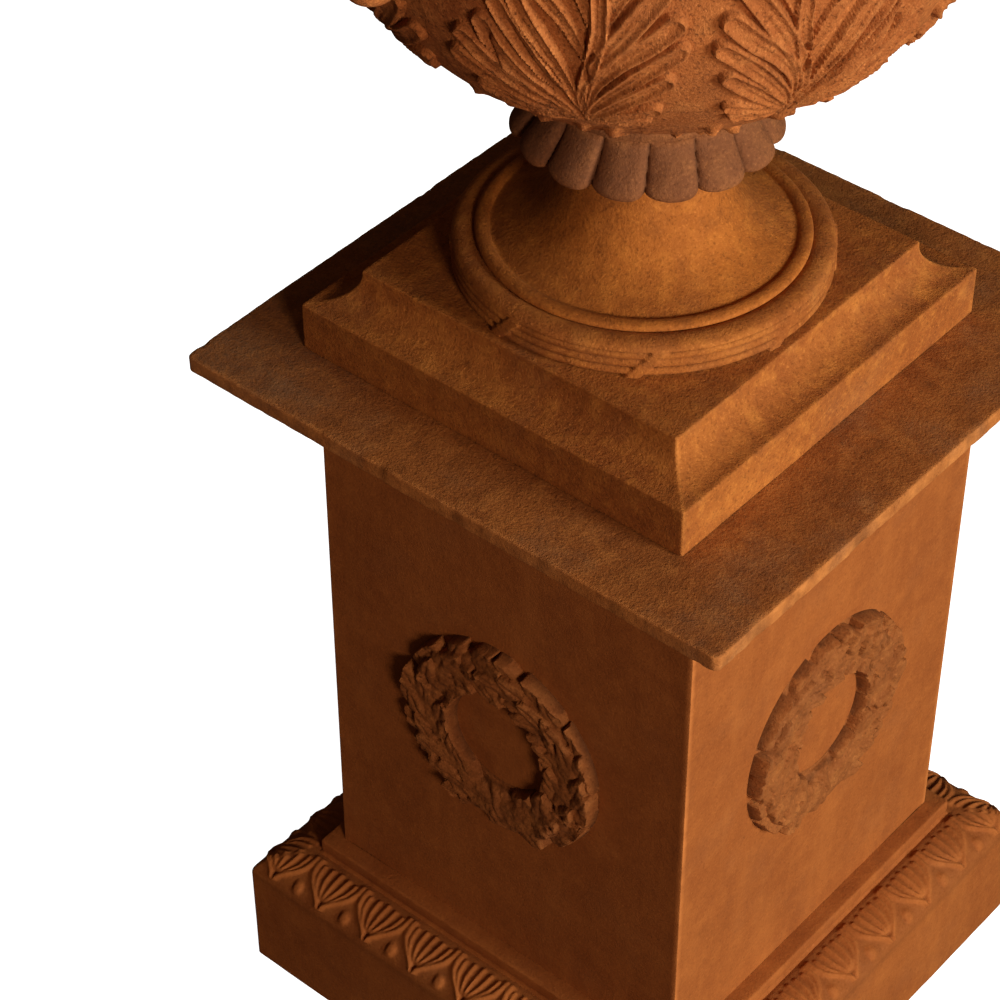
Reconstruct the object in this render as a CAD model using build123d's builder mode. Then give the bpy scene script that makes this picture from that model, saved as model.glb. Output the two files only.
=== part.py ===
from build123d import *
import os
from math import acos, asin, cos, degrees, radians, sin, sqrt

os.makedirs("parts", exist_ok=True)

# A cast-iron amphora standing on its square pedestal. Millimetres, +Z up.
# The origin is the middle of the pedestal's underside. The amphora stands loose on the cap slab,
# a little off the pedestal's middle, and lifts off in one piece.

# ---- pedestal ----
base_width = 431  # square block at the floor
base_height = 98
base_wall = 9
frieze_height = 20  # rounded band that carries the palmettes
frieze_depth = 36
ledge_width = 352  # step that the side panels stand on
ledge_height = 13
dado_width = 324  # outside of the four side panels
dado_height = 480
panel_thick = 8
panel_joint = 0.3  # open joint at each mitred corner
slab_width = 450  # cap slab
slab_thick = 12.5
slab_corner = 5
rib_height = 20  # frames that centre the panels on the base and the slab on the panels
rib_thick = 6
rib_play = 1.5
cleat_leg = 30  # angle cleat inside each corner
cleat_thick = 5
cleat_end_gap = 6  # between a cleat's end and the nearest rib
cleat_rows = 3
wreath_outer = 89
wreath_inner = 44
wreath_depth = 15
wreath_drop = 15  # below the middle of the panel
stud_radius = 66  # where the wreath's studs sit on its ring

# ---- amphora ----
shift_x = -8  # where it stands, from the pedestal's middle
shift_y = -6.5
foot_width = 323
foot_height = 37.5
platform_width = 265
cavetto_height = 25.5
foot_wall = 9
roll_radius = 129  # bound-reed ring
roll_height = 24
roll_inner = 101
roll_round = 13
dish_radius = 112  # wide edge of the socle
dish_thick = 4
dish_fit = 0.4  # between the socle and the reed ring
socle_neck = 46
socle_height = 112
socle_wall = 9
socle_hollow_rise = 30  # where the stem's hollow starts to widen, above the dish
collar_radius = 86  # gadroon collar
collar_waist = 72
collar_fall = 35
collar_overlap = 7  # how far the collar hangs over the socle
collar_tuck = 8  # its lower edge turns in by this much
collar_lip = 70
collar_lip_height = 11
belly_radius = 214
belly_depth = 195
belly_wall = 8
bowl_foot = 68
bowl_sink = 2  # the belly's curve would end this far below its foot
floor_thick = 10
shoulder_radius = 120
shoulder_rise = 138
joint_angle = 34  # up the shoulder's curve, where the body is bolted together
shoulder_angle = 72  # up the shoulder's curve, where the neck stands
neck_seat_angle = 6  # of the shoulder's inside, left flat under the neck
flange_width = 34
flange_thick = 9
flange_bolt_count = 8
flange_bolt_inset = 9
flange_bolt_turn = 22.5  # degrees from +X to the first flange bolt
bowl_quarters = 4  # castings that make the bowl; seams lie between leaves, clear of the handles
neck_foot_step = 7.082  # the neck's foot is this far inside the shoulder's top edge
neck_foot_height = 10
neck_heel_step = 16  # the neck's curve starts this far inside its foot
neck_radius = 84
neck_height = 118
neck_wall = 8
neck_waist = 0.5  # height of the narrowest place, as a share of the neck's curve
mouth_radius = 100
spigot_height = 8
spigot_fit = 0.4
spigot_lead = 6  # the rim's spigot is this much smaller than the mouth
mouth_lip = 10  # rounding above the straight mouth
rim_radius = 128
rim_height = 28
rim_edge = 9
leaf_count = 8
leaf_start = 22.5  # degrees from +X to the first leaf's middle
leaf_half_width = 66
leaf_relief = 7
leaf_foot_angle = 58  # down the belly's curve
leaf_tip_angle = 27  # up the shoulder's curve
handle_bar = 12
handle_reach = 258  # outermost place of the handle's middle line
handle_low = 389  # levels above the cap slab
handle_root = 446
handle_crown = 655
handle_head = 600
pad_width = 40
pad_tall = 66
pad_thick = 7
pad_bolt_gap = 23  # from the bar's middle to each bolt
pad_bolt_reach = 24
tie_rod_radius = 8
rod_nut_width = 24
rod_nut_height = 13
rod_washer_radius = 19
rod_washer_thick = 3
rod_spare = 6  # thread showing past a nut
strap_count = 10  # straps round the reeds
strap_first = -98
strap_width = 13
strap_proud = 1.5

# ---- fasteners ----
bolt_radius = 4
bolt_fit = 0.2
head_width = 13
head_height = 5
bolt_spare = 2  # thread showing past a nut
blind_depth = 5.5  # tapped depth in a panel
blind_end = 0.5  # left free at the end of a tapped hole
stud_sink = 8

# ---- levels and places that follow ----
ledge_low = base_height + frieze_height
ledge_top = ledge_low + ledge_height
slab_under = ledge_top + dado_height
slab_top = slab_under + slab_thick
foot_top = slab_top + foot_height
platform = foot_top + cavetto_height
dish_under = platform + roll_height
socle_top = platform + socle_height
collar_low = socle_top - collar_overlap
collar_step = collar_low + collar_fall
collar_top = collar_step + collar_lip_height
bowl_floor = collar_top + floor_thick
belly_level = collar_top - bowl_sink + belly_depth
shoulder_inset = belly_radius - shoulder_radius
joint_level = belly_level + shoulder_rise * sin(radians(joint_angle))
joint_radius = shoulder_inset + shoulder_radius * cos(radians(joint_angle))
neck_base = belly_level + shoulder_rise * sin(radians(shoulder_angle))
neck_seat = shoulder_inset + shoulder_radius * cos(radians(shoulder_angle))
neck_foot = neck_seat - neck_foot_step
neck_heel = neck_foot - neck_heel_step
neck_top = neck_base + neck_height
foot_level = neck_base + neck_foot_height
waist_level = foot_level + neck_waist * (neck_height - neck_foot_height)
rim_top = neck_top + rim_height
panel_middle = ledge_top + dado_height / 2
wreath_level = panel_middle - wreath_drop
inner_half = dado_width / 2 - panel_thick
bolt_hole = bolt_radius + bolt_fit
rod_hole = tie_rod_radius + bolt_fit

upright = Axis((shift_x, shift_y, 0), (0, 0, 1))
section = Plane(origin=(shift_x, shift_y, 0), x_dir=(1, 0, 0), z_dir=(0, -1, 0))


def level_plane(level):
    return Plane(origin=(shift_x, shift_y, level), x_dir=(1, 0, 0), z_dir=(0, 0, 1))


def side_plane(turn, distance, level, middle=(0, 0)):
    """A vertical plane facing outwards, turned about the given middle."""
    out = (cos(radians(turn)), sin(radians(turn)))
    place = (middle[0] + out[0] * distance, middle[1] + out[1] * distance, level)
    return Plane(origin=place, x_dir=(-out[1], out[0], 0), z_dir=(out[0], out[1], 0))


def keep(part, name):
    part.label = name
    export_step(part, f"parts/{name}.step")


def square_moulding(outline, reach, middle=(0, 0)):
    """Runs one half outline, mirrored, along X and along Y and keeps what both share: mitred corners."""
    with BuildPart() as moulding:
        with BuildSketch(Plane(origin=(*middle, 0), x_dir=(1, 0, 0), z_dir=(0, -1, 0))):
            add(outline)
            mirror(about=Plane.YZ)
        extrude(amount=reach, both=True)
        with BuildSketch(Plane(origin=(*middle, 0), x_dir=(0, 1, 0), z_dir=(1, 0, 0))):
            add(outline)
            mirror(about=Plane.YZ)
        extrude(amount=reach, both=True, mode=Mode.INTERSECT)
    return moulding.part


def turned(outline):
    """A piece turned about the amphora's axis from its half section."""
    with BuildPart() as piece:
        with BuildSketch(section):
            add(outline)
        revolve(axis=upright)
    return piece.part


# ---- base block: one hollow casting, open below ----
frieze_half = base_width / 2 - frieze_depth

with BuildSketch() as base_profile:
    with BuildLine():
        Line((0, 0), (base_width / 2, 0))
        Line((base_width / 2, 0), (base_width / 2, base_height))
        EllipticalCenterArc((frieze_half, base_height), frieze_depth, frieze_height)
        Line((frieze_half, ledge_low), (ledge_width / 2, ledge_low))
        Line((ledge_width / 2, ledge_low), (ledge_width / 2, ledge_top))
        Line((ledge_width / 2, ledge_top), (0, ledge_top))
        Line((0, ledge_top), (0, 0))
    make_face()


rib_half = inner_half - rib_play
with BuildPart() as base_block:
    add(square_moulding(base_profile.sketch, base_width))
    with BuildSketch(Plane.XY.offset(ledge_top)):
        Rectangle(2 * rib_half, 2 * rib_half)
    extrude(amount=rib_height)
    with BuildSketch(Plane.XY):
        Rectangle(base_width - 2 * base_wall, base_width - 2 * base_wall)
    extrude(amount=base_height - base_wall, mode=Mode.SUBTRACT)
    with BuildSketch(Plane.XY):
        Rectangle(2 * (rib_half - rib_thick), 2 * (rib_half - rib_thick))
    extrude(amount=ledge_top + rib_height, mode=Mode.SUBTRACT)
keep(base_block.part, "base_block")

# ---- side panels, mitred at the corners, each with a laurel wreath on two studs ----
sides = {"right": 0, "back": 90, "left": 180, "front": 270}
dado_half = dado_width / 2
cleat_low = ledge_top + rib_height + cleat_end_gap
cleat_high = slab_under - rib_height - cleat_end_gap
row_gap = (cleat_high - cleat_low) / cleat_rows
row_levels = [cleat_low + row_gap * (row + 0.5) for row in range(cleat_rows)]
cleat_bolt_place = inner_half - (cleat_leg + cleat_thick) / 2
panel_bolt_places = [(s * cleat_bolt_place, level - panel_middle) for s in (-1, 1) for level in row_levels]
stud_places = [(s * stud_radius, 0) for s in (-1, 1)]

with BuildPart() as wreath_studs:
    for turn in sides.values():
        with BuildSketch(side_plane(turn, inner_half - head_height - 2, wreath_level)):
            with Locations(*stud_places):
                Circle(bolt_radius)
        extrude(amount=panel_thick + head_height + 2 + stud_sink - blind_end)
keep(wreath_studs.part, "wreath_studs")

with BuildPart() as wreath_nuts:
    for turn in sides.values():
        with BuildSketch(side_plane(turn, inner_half - head_height, wreath_level)):
            with Locations(*stud_places):
                RegularPolygon(head_width / 2, 6, major_radius=False)
                Circle(bolt_hole, mode=Mode.SUBTRACT)
        extrude(amount=head_height)
keep(wreath_nuts.part, "wreath_nuts")

for side, turn in sides.items():
    plan = side_plane(turn, 0, ledge_top)
    flat = Plane(origin=(0, 0, ledge_top), x_dir=plan.x_dir, z_dir=(0, 0, 1))
    with BuildPart() as panel:
        with BuildSketch(flat):
            with BuildLine():
                Polyline(
                    (panel_joint - dado_half, -dado_half),
                    (dado_half - panel_joint, -dado_half),
                    (inner_half - panel_joint, -inner_half),
                    (panel_joint - inner_half, -inner_half),
                    close=True,
                )
            make_face()
        extrude(amount=dado_height)
        with BuildSketch(side_plane(turn, inner_half, wreath_level)):
            with Locations(*stud_places):
                Circle(bolt_hole)
        extrude(amount=panel_thick, mode=Mode.SUBTRACT)
        with BuildSketch(side_plane(turn, inner_half, panel_middle)):
            with Locations(*panel_bolt_places):
                Circle(bolt_hole)
        extrude(amount=blind_depth, mode=Mode.SUBTRACT)
    keep(panel.part, f"side_panel_{side}")

    with BuildPart() as wreath:
        with BuildSketch(side_plane(turn, dado_half, wreath_level)):
            Circle(wreath_outer)
            Circle(wreath_inner, mode=Mode.SUBTRACT)
        extrude(amount=wreath_depth)
        chamfer(wreath.faces().sort_by(Axis((0, 0, 0), plan.z_dir))[-1].edges(), length=wreath_depth * 0.45)
        with BuildSketch(side_plane(turn, dado_half, wreath_level)):
            with Locations(*stud_places):
                Circle(bolt_hole)
        extrude(amount=stud_sink, mode=Mode.SUBTRACT)
    keep(wreath.part, f"wreath_{side}")

# ---- angle cleats and their bolts, all inside ----
bolt_inner = cleat_thick + head_height
with BuildPart() as cleat_bolts:
    for turn in sides.values():
        with BuildSketch(side_plane(turn, inner_half - cleat_thick, panel_middle)):
            with Locations(*panel_bolt_places):
                Circle(bolt_radius)
        extrude(amount=cleat_thick + blind_depth - blind_end)
        with BuildSketch(side_plane(turn, inner_half - bolt_inner, panel_middle)):
            with Locations(*panel_bolt_places):
                RegularPolygon(head_width / 2, 6, major_radius=False)
        extrude(amount=head_height)
keep(cleat_bolts.part, "cleat_bolts")

for number, turn in enumerate(sides.values(), start=1):
    corner = Plane(origin=(0, 0, cleat_low), x_dir=side_plane(turn, 0, 0).x_dir, z_dir=(0, 0, 1))
    with BuildPart() as cleat:
        with BuildSketch(corner):
            with BuildLine():
                Polyline(
                    (inner_half, -inner_half),
                    (inner_half, -inner_half + cleat_leg),
                    (inner_half - cleat_thick, -inner_half + cleat_leg),
                    (inner_half - cleat_thick, -inner_half + cleat_thick),
                    (inner_half - cleat_leg, -inner_half + cleat_thick),
                    (inner_half - cleat_leg, -inner_half),
                    close=True,
                )
            make_face()
        extrude(amount=cleat_high - cleat_low)
        for face_turn, s in ((turn, 1), (turn + 90, -1)):
            with BuildSketch(side_plane(face_turn, inner_half - cleat_thick, panel_middle)):
                with Locations(*[(s * cleat_bolt_place, level - panel_middle) for level in row_levels]):
                    Circle(bolt_hole)
            extrude(amount=cleat_thick, mode=Mode.SUBTRACT)
    keep(cleat.part, f"corner_cleat_{number}")

# ---- cap slab with its rib frame ----
with BuildPart() as cap_slab:
    with BuildSketch(Plane.XY.offset(slab_under)):
        RectangleRounded(slab_width, slab_width, slab_corner)
    extrude(amount=slab_thick)
    with BuildSketch(Plane.XY.offset(slab_under)):
        Rectangle(2 * rib_half, 2 * rib_half)
        Rectangle(2 * (rib_half - rib_thick), 2 * (rib_half - rib_thick), mode=Mode.SUBTRACT)
    extrude(amount=-rib_height)
keep(cap_slab.part, "cap_slab")

# ---- foot of the amphora: hollow square block with a hollow moulding ----
foot_half = foot_width / 2
platform_half = platform_width / 2

with BuildSketch() as foot_profile:
    with BuildLine():
        Line((0, slab_top), (foot_half, slab_top))
        Line((foot_half, slab_top), (foot_half, foot_top))
        EllipticalCenterArc(
            (foot_half, platform), foot_half - platform_half, cavetto_height, start_angle=180, arc_size=90
        )
        Line((platform_half, platform), (0, platform))
        Line((0, platform), (0, slab_top))
    make_face()


with BuildPart() as foot_plinth:
    add(square_moulding(foot_profile.sketch, foot_width, (shift_x, shift_y)))
    with BuildSketch(level_plane(slab_top)):
        Rectangle(foot_width - 2 * foot_wall, foot_width - 2 * foot_wall)
    extrude(amount=foot_height - foot_wall, mode=Mode.SUBTRACT)
    with BuildSketch(level_plane(slab_top)):
        Rectangle(platform_width - 2 * foot_wall, platform_width - 2 * foot_wall)
    extrude(amount=platform - foot_wall - slab_top, mode=Mode.SUBTRACT)
    with BuildSketch(level_plane(slab_top)):
        Circle(rod_hole)
    extrude(amount=platform - slab_top, mode=Mode.SUBTRACT)
keep(foot_plinth.part, "foot_plinth")


# ---- bound-reed ring and its straps ----
with BuildSketch() as reed_profile:
    with BuildLine():
        Line((roll_inner, platform), (roll_radius, platform))
        Line((roll_radius, platform), (roll_radius, dish_under - roll_round))
        EllipticalCenterArc((roll_radius - roll_round, dish_under - roll_round), roll_round, roll_round)
        Line((roll_radius - roll_round, dish_under), (roll_inner, dish_under))
        Line((roll_inner, dish_under), (roll_inner, platform))
    make_face()


keep(turned(reed_profile.sketch), "reed_ring")

with BuildPart() as reed_straps:
    for number in range(strap_count):
        turn = strap_first + number * 360 / strap_count
        with BuildSketch(side_plane(turn, 0, platform, (shift_x, shift_y))):
            with Locations((0, (roll_height - roll_round) / 2)):
                Rectangle(strap_width, roll_height - roll_round)
        extrude(amount=roll_radius + strap_proud)
    with BuildSketch(level_plane(platform)):
        Circle(roll_radius)
    extrude(amount=roll_height, mode=Mode.SUBTRACT)
keep(reed_straps.part, "reed_straps")

# ---- socle: the flared stem, a hollow casting ----
dish_top = dish_under + dish_thick
stem_shape = [
    (dish_radius - dish_thick, dish_top),
    (0.62 * dish_radius, dish_top + 2),
    (socle_neck + 2, dish_top + 0.42 * (socle_top - dish_top)),
    (socle_neck, socle_top - collar_overlap),
]

with BuildSketch() as socle_profile:
    spigot = roll_inner - dish_fit
    with BuildLine():
        Line((spigot - socle_wall, platform), (spigot, platform))
        Line((spigot, platform), (spigot, dish_under))
        Line((spigot, dish_under), (dish_radius, dish_under))
        Line((dish_radius, dish_under), (dish_radius, dish_top))
        Line((dish_radius, dish_top), stem_shape[0])
        Bezier(*stem_shape)
        Line(stem_shape[-1], (socle_neck, socle_top))
        Line((socle_neck, socle_top), (rod_hole, socle_top))
        Line((rod_hole, socle_top), (rod_hole, socle_top - socle_wall))
        Line((rod_hole, socle_top - socle_wall), (socle_neck - socle_wall, socle_top - socle_wall))
        stem_hollow = socle_neck - socle_wall
        widening = dish_top + socle_hollow_rise
        Line((stem_hollow, socle_top - socle_wall), (stem_hollow, widening))
        Line((stem_hollow, widening), (spigot - socle_wall, dish_under - socle_wall))
        Line((spigot - socle_wall, dish_under - socle_wall), (spigot - socle_wall, platform))
    make_face()


keep(turned(socle_profile.sketch), "socle")


# ---- gadroon collar under the body ----
with BuildSketch() as collar_profile:
    bore = socle_neck + dish_fit
    with BuildLine():
        Line((bore, collar_low), (collar_radius - collar_tuck, collar_low))
        Spline(
            (collar_radius - collar_tuck, collar_low),
            (collar_radius, collar_low + 0.25 * collar_fall),
            (collar_waist, collar_step),
            tangents=((1, 0.3), (-0.2, 1)),
        )
        Line((collar_waist, collar_step), (collar_lip, collar_step))
        Line((collar_lip, collar_step), (collar_lip, collar_top))
        Line((collar_lip, collar_top), (rod_hole, collar_top))
        Line((rod_hole, collar_top), (rod_hole, socle_top))
        Line((rod_hole, socle_top), (bore, socle_top))
        Line((bore, socle_top), (bore, collar_low))
    make_face()


keep(turned(collar_profile.sketch), "gadroon_collar")

# ---- body: a lower bowl and a shoulder, bolted together on inside flanges ----
inner_radius = belly_radius - belly_wall
inner_depth = belly_depth - belly_wall
foot_turn = degrees(acos(bowl_foot / belly_radius))
floor_turn = degrees(asin((belly_level - bowl_floor) / inner_depth))
inner_shoulder = shoulder_radius - belly_wall
inner_rise = shoulder_rise - belly_wall
flange_turn = degrees(asin((joint_level - flange_thick - belly_level) / inner_rise))
upper_flange_turn = degrees(asin((joint_level + flange_thick - belly_level) / inner_rise))
flange_bore = joint_radius - belly_wall - flange_width
spigot_bore = neck_seat - 2 * belly_wall

with BuildSketch() as lower_profile:
    with BuildLine():
        bowl = EllipticalCenterArc(
            (0, belly_level), belly_radius, belly_depth, start_angle=-foot_turn, arc_size=foot_turn
        )
        rise = EllipticalCenterArc(
            (shoulder_inset, belly_level),
            shoulder_radius,
            shoulder_rise,
            start_angle=0,
            arc_size=joint_angle,
        )
        inner_bowl = EllipticalCenterArc(
            (0, belly_level), inner_radius, inner_depth, start_angle=-floor_turn, arc_size=floor_turn
        )
        inner_rise_arc = EllipticalCenterArc(
            (shoulder_inset, belly_level), inner_shoulder, inner_rise, start_angle=0, arc_size=flange_turn
        )
        Line((rod_hole, collar_top), (bowl_foot, collar_top))
        Line((bowl_foot, collar_top), bowl @ 0)
        Line(rise @ 1, (flange_bore, joint_level))
        Line((flange_bore, joint_level), (flange_bore, joint_level - flange_thick))
        Line((flange_bore, joint_level - flange_thick), inner_rise_arc @ 1)
        Line(inner_bowl @ 0, (rod_hole, bowl_floor))
        Line((rod_hole, bowl_floor), (rod_hole, collar_top))
    make_face()

with BuildSketch() as shoulder_profile:
    with BuildLine():
        outer = EllipticalCenterArc(
            (shoulder_inset, belly_level),
            shoulder_radius,
            shoulder_rise,
            start_angle=joint_angle,
            arc_size=shoulder_angle - joint_angle,
        )
        inner = EllipticalCenterArc(
            (shoulder_inset, belly_level),
            inner_shoulder,
            inner_rise,
            start_angle=upper_flange_turn,
            arc_size=shoulder_angle - neck_seat_angle - upper_flange_turn,
        )
        Line(outer @ 0, (flange_bore, joint_level))
        Line((flange_bore, joint_level), (flange_bore, joint_level + flange_thick))
        Line((flange_bore, joint_level + flange_thick), inner @ 0)
        Line(inner @ 1, (spigot_bore, (inner @ 1).Y))
        Line((spigot_bore, (inner @ 1).Y), (spigot_bore, neck_base))
        Line((spigot_bore, neck_base), outer @ 1)
    make_face()


flange_bolt_circle = flange_bore + flange_bolt_inset
with BuildPart() as lower_body:
    add(turned(lower_profile.sketch))
    with BuildSketch(level_plane(joint_level - flange_thick)):
        with PolarLocations(flange_bolt_circle, flange_bolt_count, start_angle=flange_bolt_turn):
            Circle(bolt_hole)
    extrude(amount=flange_thick, mode=Mode.SUBTRACT)

with BuildPart() as shoulder:
    add(turned(shoulder_profile.sketch))
    with BuildSketch(level_plane(joint_level)):
        with PolarLocations(flange_bolt_circle, flange_bolt_count, start_angle=flange_bolt_turn):
            Circle(bolt_hole)
    extrude(amount=flange_thick, mode=Mode.SUBTRACT)

with BuildPart() as flange_bolts:
    with BuildSketch(level_plane(joint_level - flange_thick - head_height)):
        with PolarLocations(flange_bolt_circle, flange_bolt_count, start_angle=flange_bolt_turn):
            RegularPolygon(head_width / 2, 6, major_radius=False)
    extrude(amount=head_height)
    with BuildSketch(level_plane(joint_level - flange_thick)):
        with PolarLocations(flange_bolt_circle, flange_bolt_count, start_angle=flange_bolt_turn):
            Circle(bolt_radius)
    extrude(amount=2 * flange_thick + head_height + bolt_spare)
keep(flange_bolts.part, "flange_bolts")

with BuildPart() as flange_nuts:
    with BuildSketch(level_plane(joint_level + flange_thick)):
        with PolarLocations(flange_bolt_circle, flange_bolt_count, start_angle=flange_bolt_turn):
            RegularPolygon(head_width / 2, 6, major_radius=False)
            Circle(bolt_hole, mode=Mode.SUBTRACT)
    extrude(amount=head_height)
keep(flange_nuts.part, "flange_nuts")


# ---- neck and rim ----
with BuildSketch() as neck_profile:
    spigot = spigot_bore - spigot_fit
    with BuildLine():
        outer = ThreePointArc(
            (neck_heel, foot_level), (neck_radius, waist_level), (mouth_radius, neck_top)
        )
        inner = ThreePointArc(
            (spigot - neck_wall, foot_level),
            (neck_radius - neck_wall, waist_level),
            (mouth_radius - neck_wall, neck_top),
        )
        Line((spigot - neck_wall, neck_base - spigot_height), (spigot, neck_base - spigot_height))
        Line((spigot, neck_base - spigot_height), (spigot, neck_base))
        Line((spigot, neck_base), (neck_foot, neck_base))
        Line((neck_foot, neck_base), (neck_foot, foot_level))
        Line((neck_foot, foot_level), outer @ 0)
        Line(outer @ 1, inner @ 1)
        Line(inner @ 0, (spigot - neck_wall, neck_base - spigot_height))
    make_face()

with BuildSketch() as rim_profile:
    throat = mouth_radius - neck_wall - spigot_lead
    with BuildLine():
        Line((throat - neck_wall, neck_top - spigot_height), (throat, neck_top - spigot_height))
        Line((throat, neck_top - spigot_height), (throat, neck_top))
        Line((throat, neck_top), (mouth_radius, neck_top))
        swell = Bezier(
            (mouth_radius, neck_top),
            (mouth_radius + 4, neck_top + 0.6 * rim_height),
            (rim_radius, neck_top + 0.3 * rim_height),
            (rim_radius, rim_top - rim_edge),
        )
        edge = EllipticalCenterArc((rim_radius - rim_edge, rim_top - rim_edge), rim_edge, rim_edge)
        lip_level = rim_top - mouth_lip
        Bezier(edge @ 1, (throat, rim_top), (throat - neck_wall, rim_top), (throat - neck_wall, lip_level))
        Line((throat - neck_wall, lip_level), (throat - neck_wall, neck_top - spigot_height))
    make_face()


keep(turned(rim_profile.sketch), "rim")

# ---- handles: one on each of the front and back sides ----
with BuildSketch() as filled_profile:
    with BuildLine():
        bowl = EllipticalCenterArc(
            (0, belly_level), belly_radius, belly_depth, start_angle=-foot_turn, arc_size=foot_turn
        )
        rise = EllipticalCenterArc(
            (shoulder_inset, belly_level),
            shoulder_radius,
            shoulder_rise,
            start_angle=0,
            arc_size=shoulder_angle,
        )
        waist = ThreePointArc(
            (neck_heel, foot_level), (neck_radius, waist_level), (mouth_radius, neck_top)
        )
        Line((0, (bowl @ 0).Y), bowl @ 0)
        Polyline(rise @ 1, (neck_foot, neck_base), (neck_foot, foot_level), waist @ 0)
        Polyline(waist @ 1, (0, neck_top), (0, (bowl @ 0).Y))
    make_face()
body_outside = turned(filled_profile.sketch)
root_level = slab_top + handle_root
head_level = slab_top + handle_head
low_level = slab_top + handle_low
crown_level = slab_top + handle_crown
root_face = shoulder_inset + shoulder_radius * sqrt(1 - ((root_level - belly_level) / shoulder_rise) ** 2)
head_face = neck_radius + 2 * pad_thick
handle_path = [
    (root_face - 2 * pad_thick, root_level),
    (root_face + 26, root_level - 6),
    (handle_reach - 24, low_level),
    (handle_reach + 4, low_level + 10),
    (handle_reach, root_level + 84),
    (handle_reach - 70, crown_level - 40),
    (neck_radius + 46, head_level + 7),
    (neck_radius - pad_thick, head_level),
]
handle_bends = [9, handle_bar + 1, handle_bar + 1, 90, 60, 34]
handle_planes = {
    "front": Plane(origin=(shift_x, shift_y, 0), x_dir=(0, -1, 0), z_dir=(-1, 0, 0)),
    "back": Plane(origin=(shift_x, shift_y, 0), x_dir=(0, 1, 0), z_dir=(1, 0, 0)),
}
pads = [(root_face + pad_thick, root_level), (head_face, head_level)]
pad_bolt_places = [(0, s * pad_bolt_gap) for s in (-1, 1)]


def pad_plane(run, reach, level):
    """The outer face of a pad, facing back to the body."""
    return Plane(origin=run.from_local_coords((reach, level, 0)), x_dir=run.z_dir, z_dir=-run.x_dir)


def handle_solid(run):
    """A round bar along the path with an upright pad at each end, trimmed flush to the body."""
    with BuildPart() as bar:
        with BuildLine(run) as path:
            FilletPolyline(*handle_path, radius=handle_bends)
        with BuildSketch(Plane(path.line @ 0, z_dir=path.line % 0)):
            Circle(handle_bar)
        sweep()
        for reach, level in pads:
            with BuildSketch(pad_plane(run, reach, level)):
                RectangleRounded(pad_width, pad_tall, pad_width / 2 - 1)
            extrude(amount=3 * pad_thick)
        add(body_outside, mode=Mode.SUBTRACT)
        for reach, level in pads:
            with BuildSketch(pad_plane(run, reach, level)):
                with Locations(*pad_bolt_places):
                    Circle(bolt_hole)
            extrude(amount=3 * pad_thick, mode=Mode.SUBTRACT)
    return bar.part


for name, run in handle_planes.items():
    keep(handle_solid(run), f"handle_{name}")

with BuildPart() as handle_bolts:
    for run in handle_planes.values():
        for reach, level in pads:
            with BuildSketch(pad_plane(run, reach + head_height, level)):
                with Locations(*pad_bolt_places):
                    RegularPolygon(head_width / 2, 6, major_radius=False)
            extrude(amount=head_height)
            with BuildSketch(pad_plane(run, reach, level)):
                with Locations(*pad_bolt_places):
                    Circle(bolt_radius)
            extrude(amount=pad_bolt_reach)
keep(handle_bolts.part, "handle_bolts")


def drilled(part, pad):
    """The piece with the bolt holes of one pad on each side."""
    with BuildPart() as piece:
        add(part)
        for run in handle_planes.values():
            with BuildSketch(pad_plane(run, *pad)):
                with Locations(*pad_bolt_places):
                    Circle(bolt_hole)
            extrude(amount=pad_bolt_reach + pad_thick, mode=Mode.SUBTRACT)
    return piece.part


whole_bowl = drilled(lower_body.part, pads[0])
for number in range(bowl_quarters):
    with BuildPart() as quarter:
        add(whole_bowl)
        for swing in (-180 / bowl_quarters, 180 / bowl_quarters):
            seam = side_plane(number * 360 / bowl_quarters + swing, 0, belly_level, (shift_x, shift_y))
            split(bisect_by=seam, keep=Keep.TOP)
    keep(quarter.part, f"lower_body_{number + 1}")
keep(drilled(turned(neck_profile.sketch), pads[1]), "neck")
keep(shoulder.part, "shoulder")

# ---- leaves on the body ----
leaf_foot = belly_level - belly_depth * sin(radians(leaf_foot_angle))
leaf_tip = belly_level + shoulder_rise * sin(radians(leaf_tip_angle))
with BuildSketch() as band_profile:
    with BuildLine():
        inner_low = EllipticalCenterArc(
            (0, belly_level),
            belly_radius,
            belly_depth,
            start_angle=-leaf_foot_angle,
            arc_size=leaf_foot_angle,
        )
        inner_high = EllipticalCenterArc(
            (shoulder_inset, belly_level),
            shoulder_radius,
            shoulder_rise,
            start_angle=0,
            arc_size=leaf_tip_angle,
        )
        outer_low = EllipticalCenterArc(
            (0, belly_level),
            belly_radius + leaf_relief,
            belly_depth + leaf_relief,
            start_angle=-leaf_foot_angle,
            arc_size=leaf_foot_angle,
        )
        outer_high = EllipticalCenterArc(
            (shoulder_inset, belly_level),
            shoulder_radius + leaf_relief,
            shoulder_rise + leaf_relief,
            start_angle=0,
            arc_size=leaf_tip_angle,
        )
        Line(inner_low @ 0, outer_low @ 0)
        Line(inner_high @ 1, outer_high @ 1)
    make_face()
leaf_band = turned(band_profile.sketch)
leaf_side = [
    (0.2 * leaf_half_width, leaf_foot - leaf_relief),
    (0.62 * leaf_half_width, leaf_foot + 0.3 * (leaf_tip - leaf_foot)),
    (leaf_half_width, leaf_foot + 0.62 * (leaf_tip - leaf_foot)),
    (0.8 * leaf_half_width, leaf_foot + 0.84 * (leaf_tip - leaf_foot)),
    (0.3 * leaf_half_width, leaf_tip + leaf_relief),
]
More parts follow.
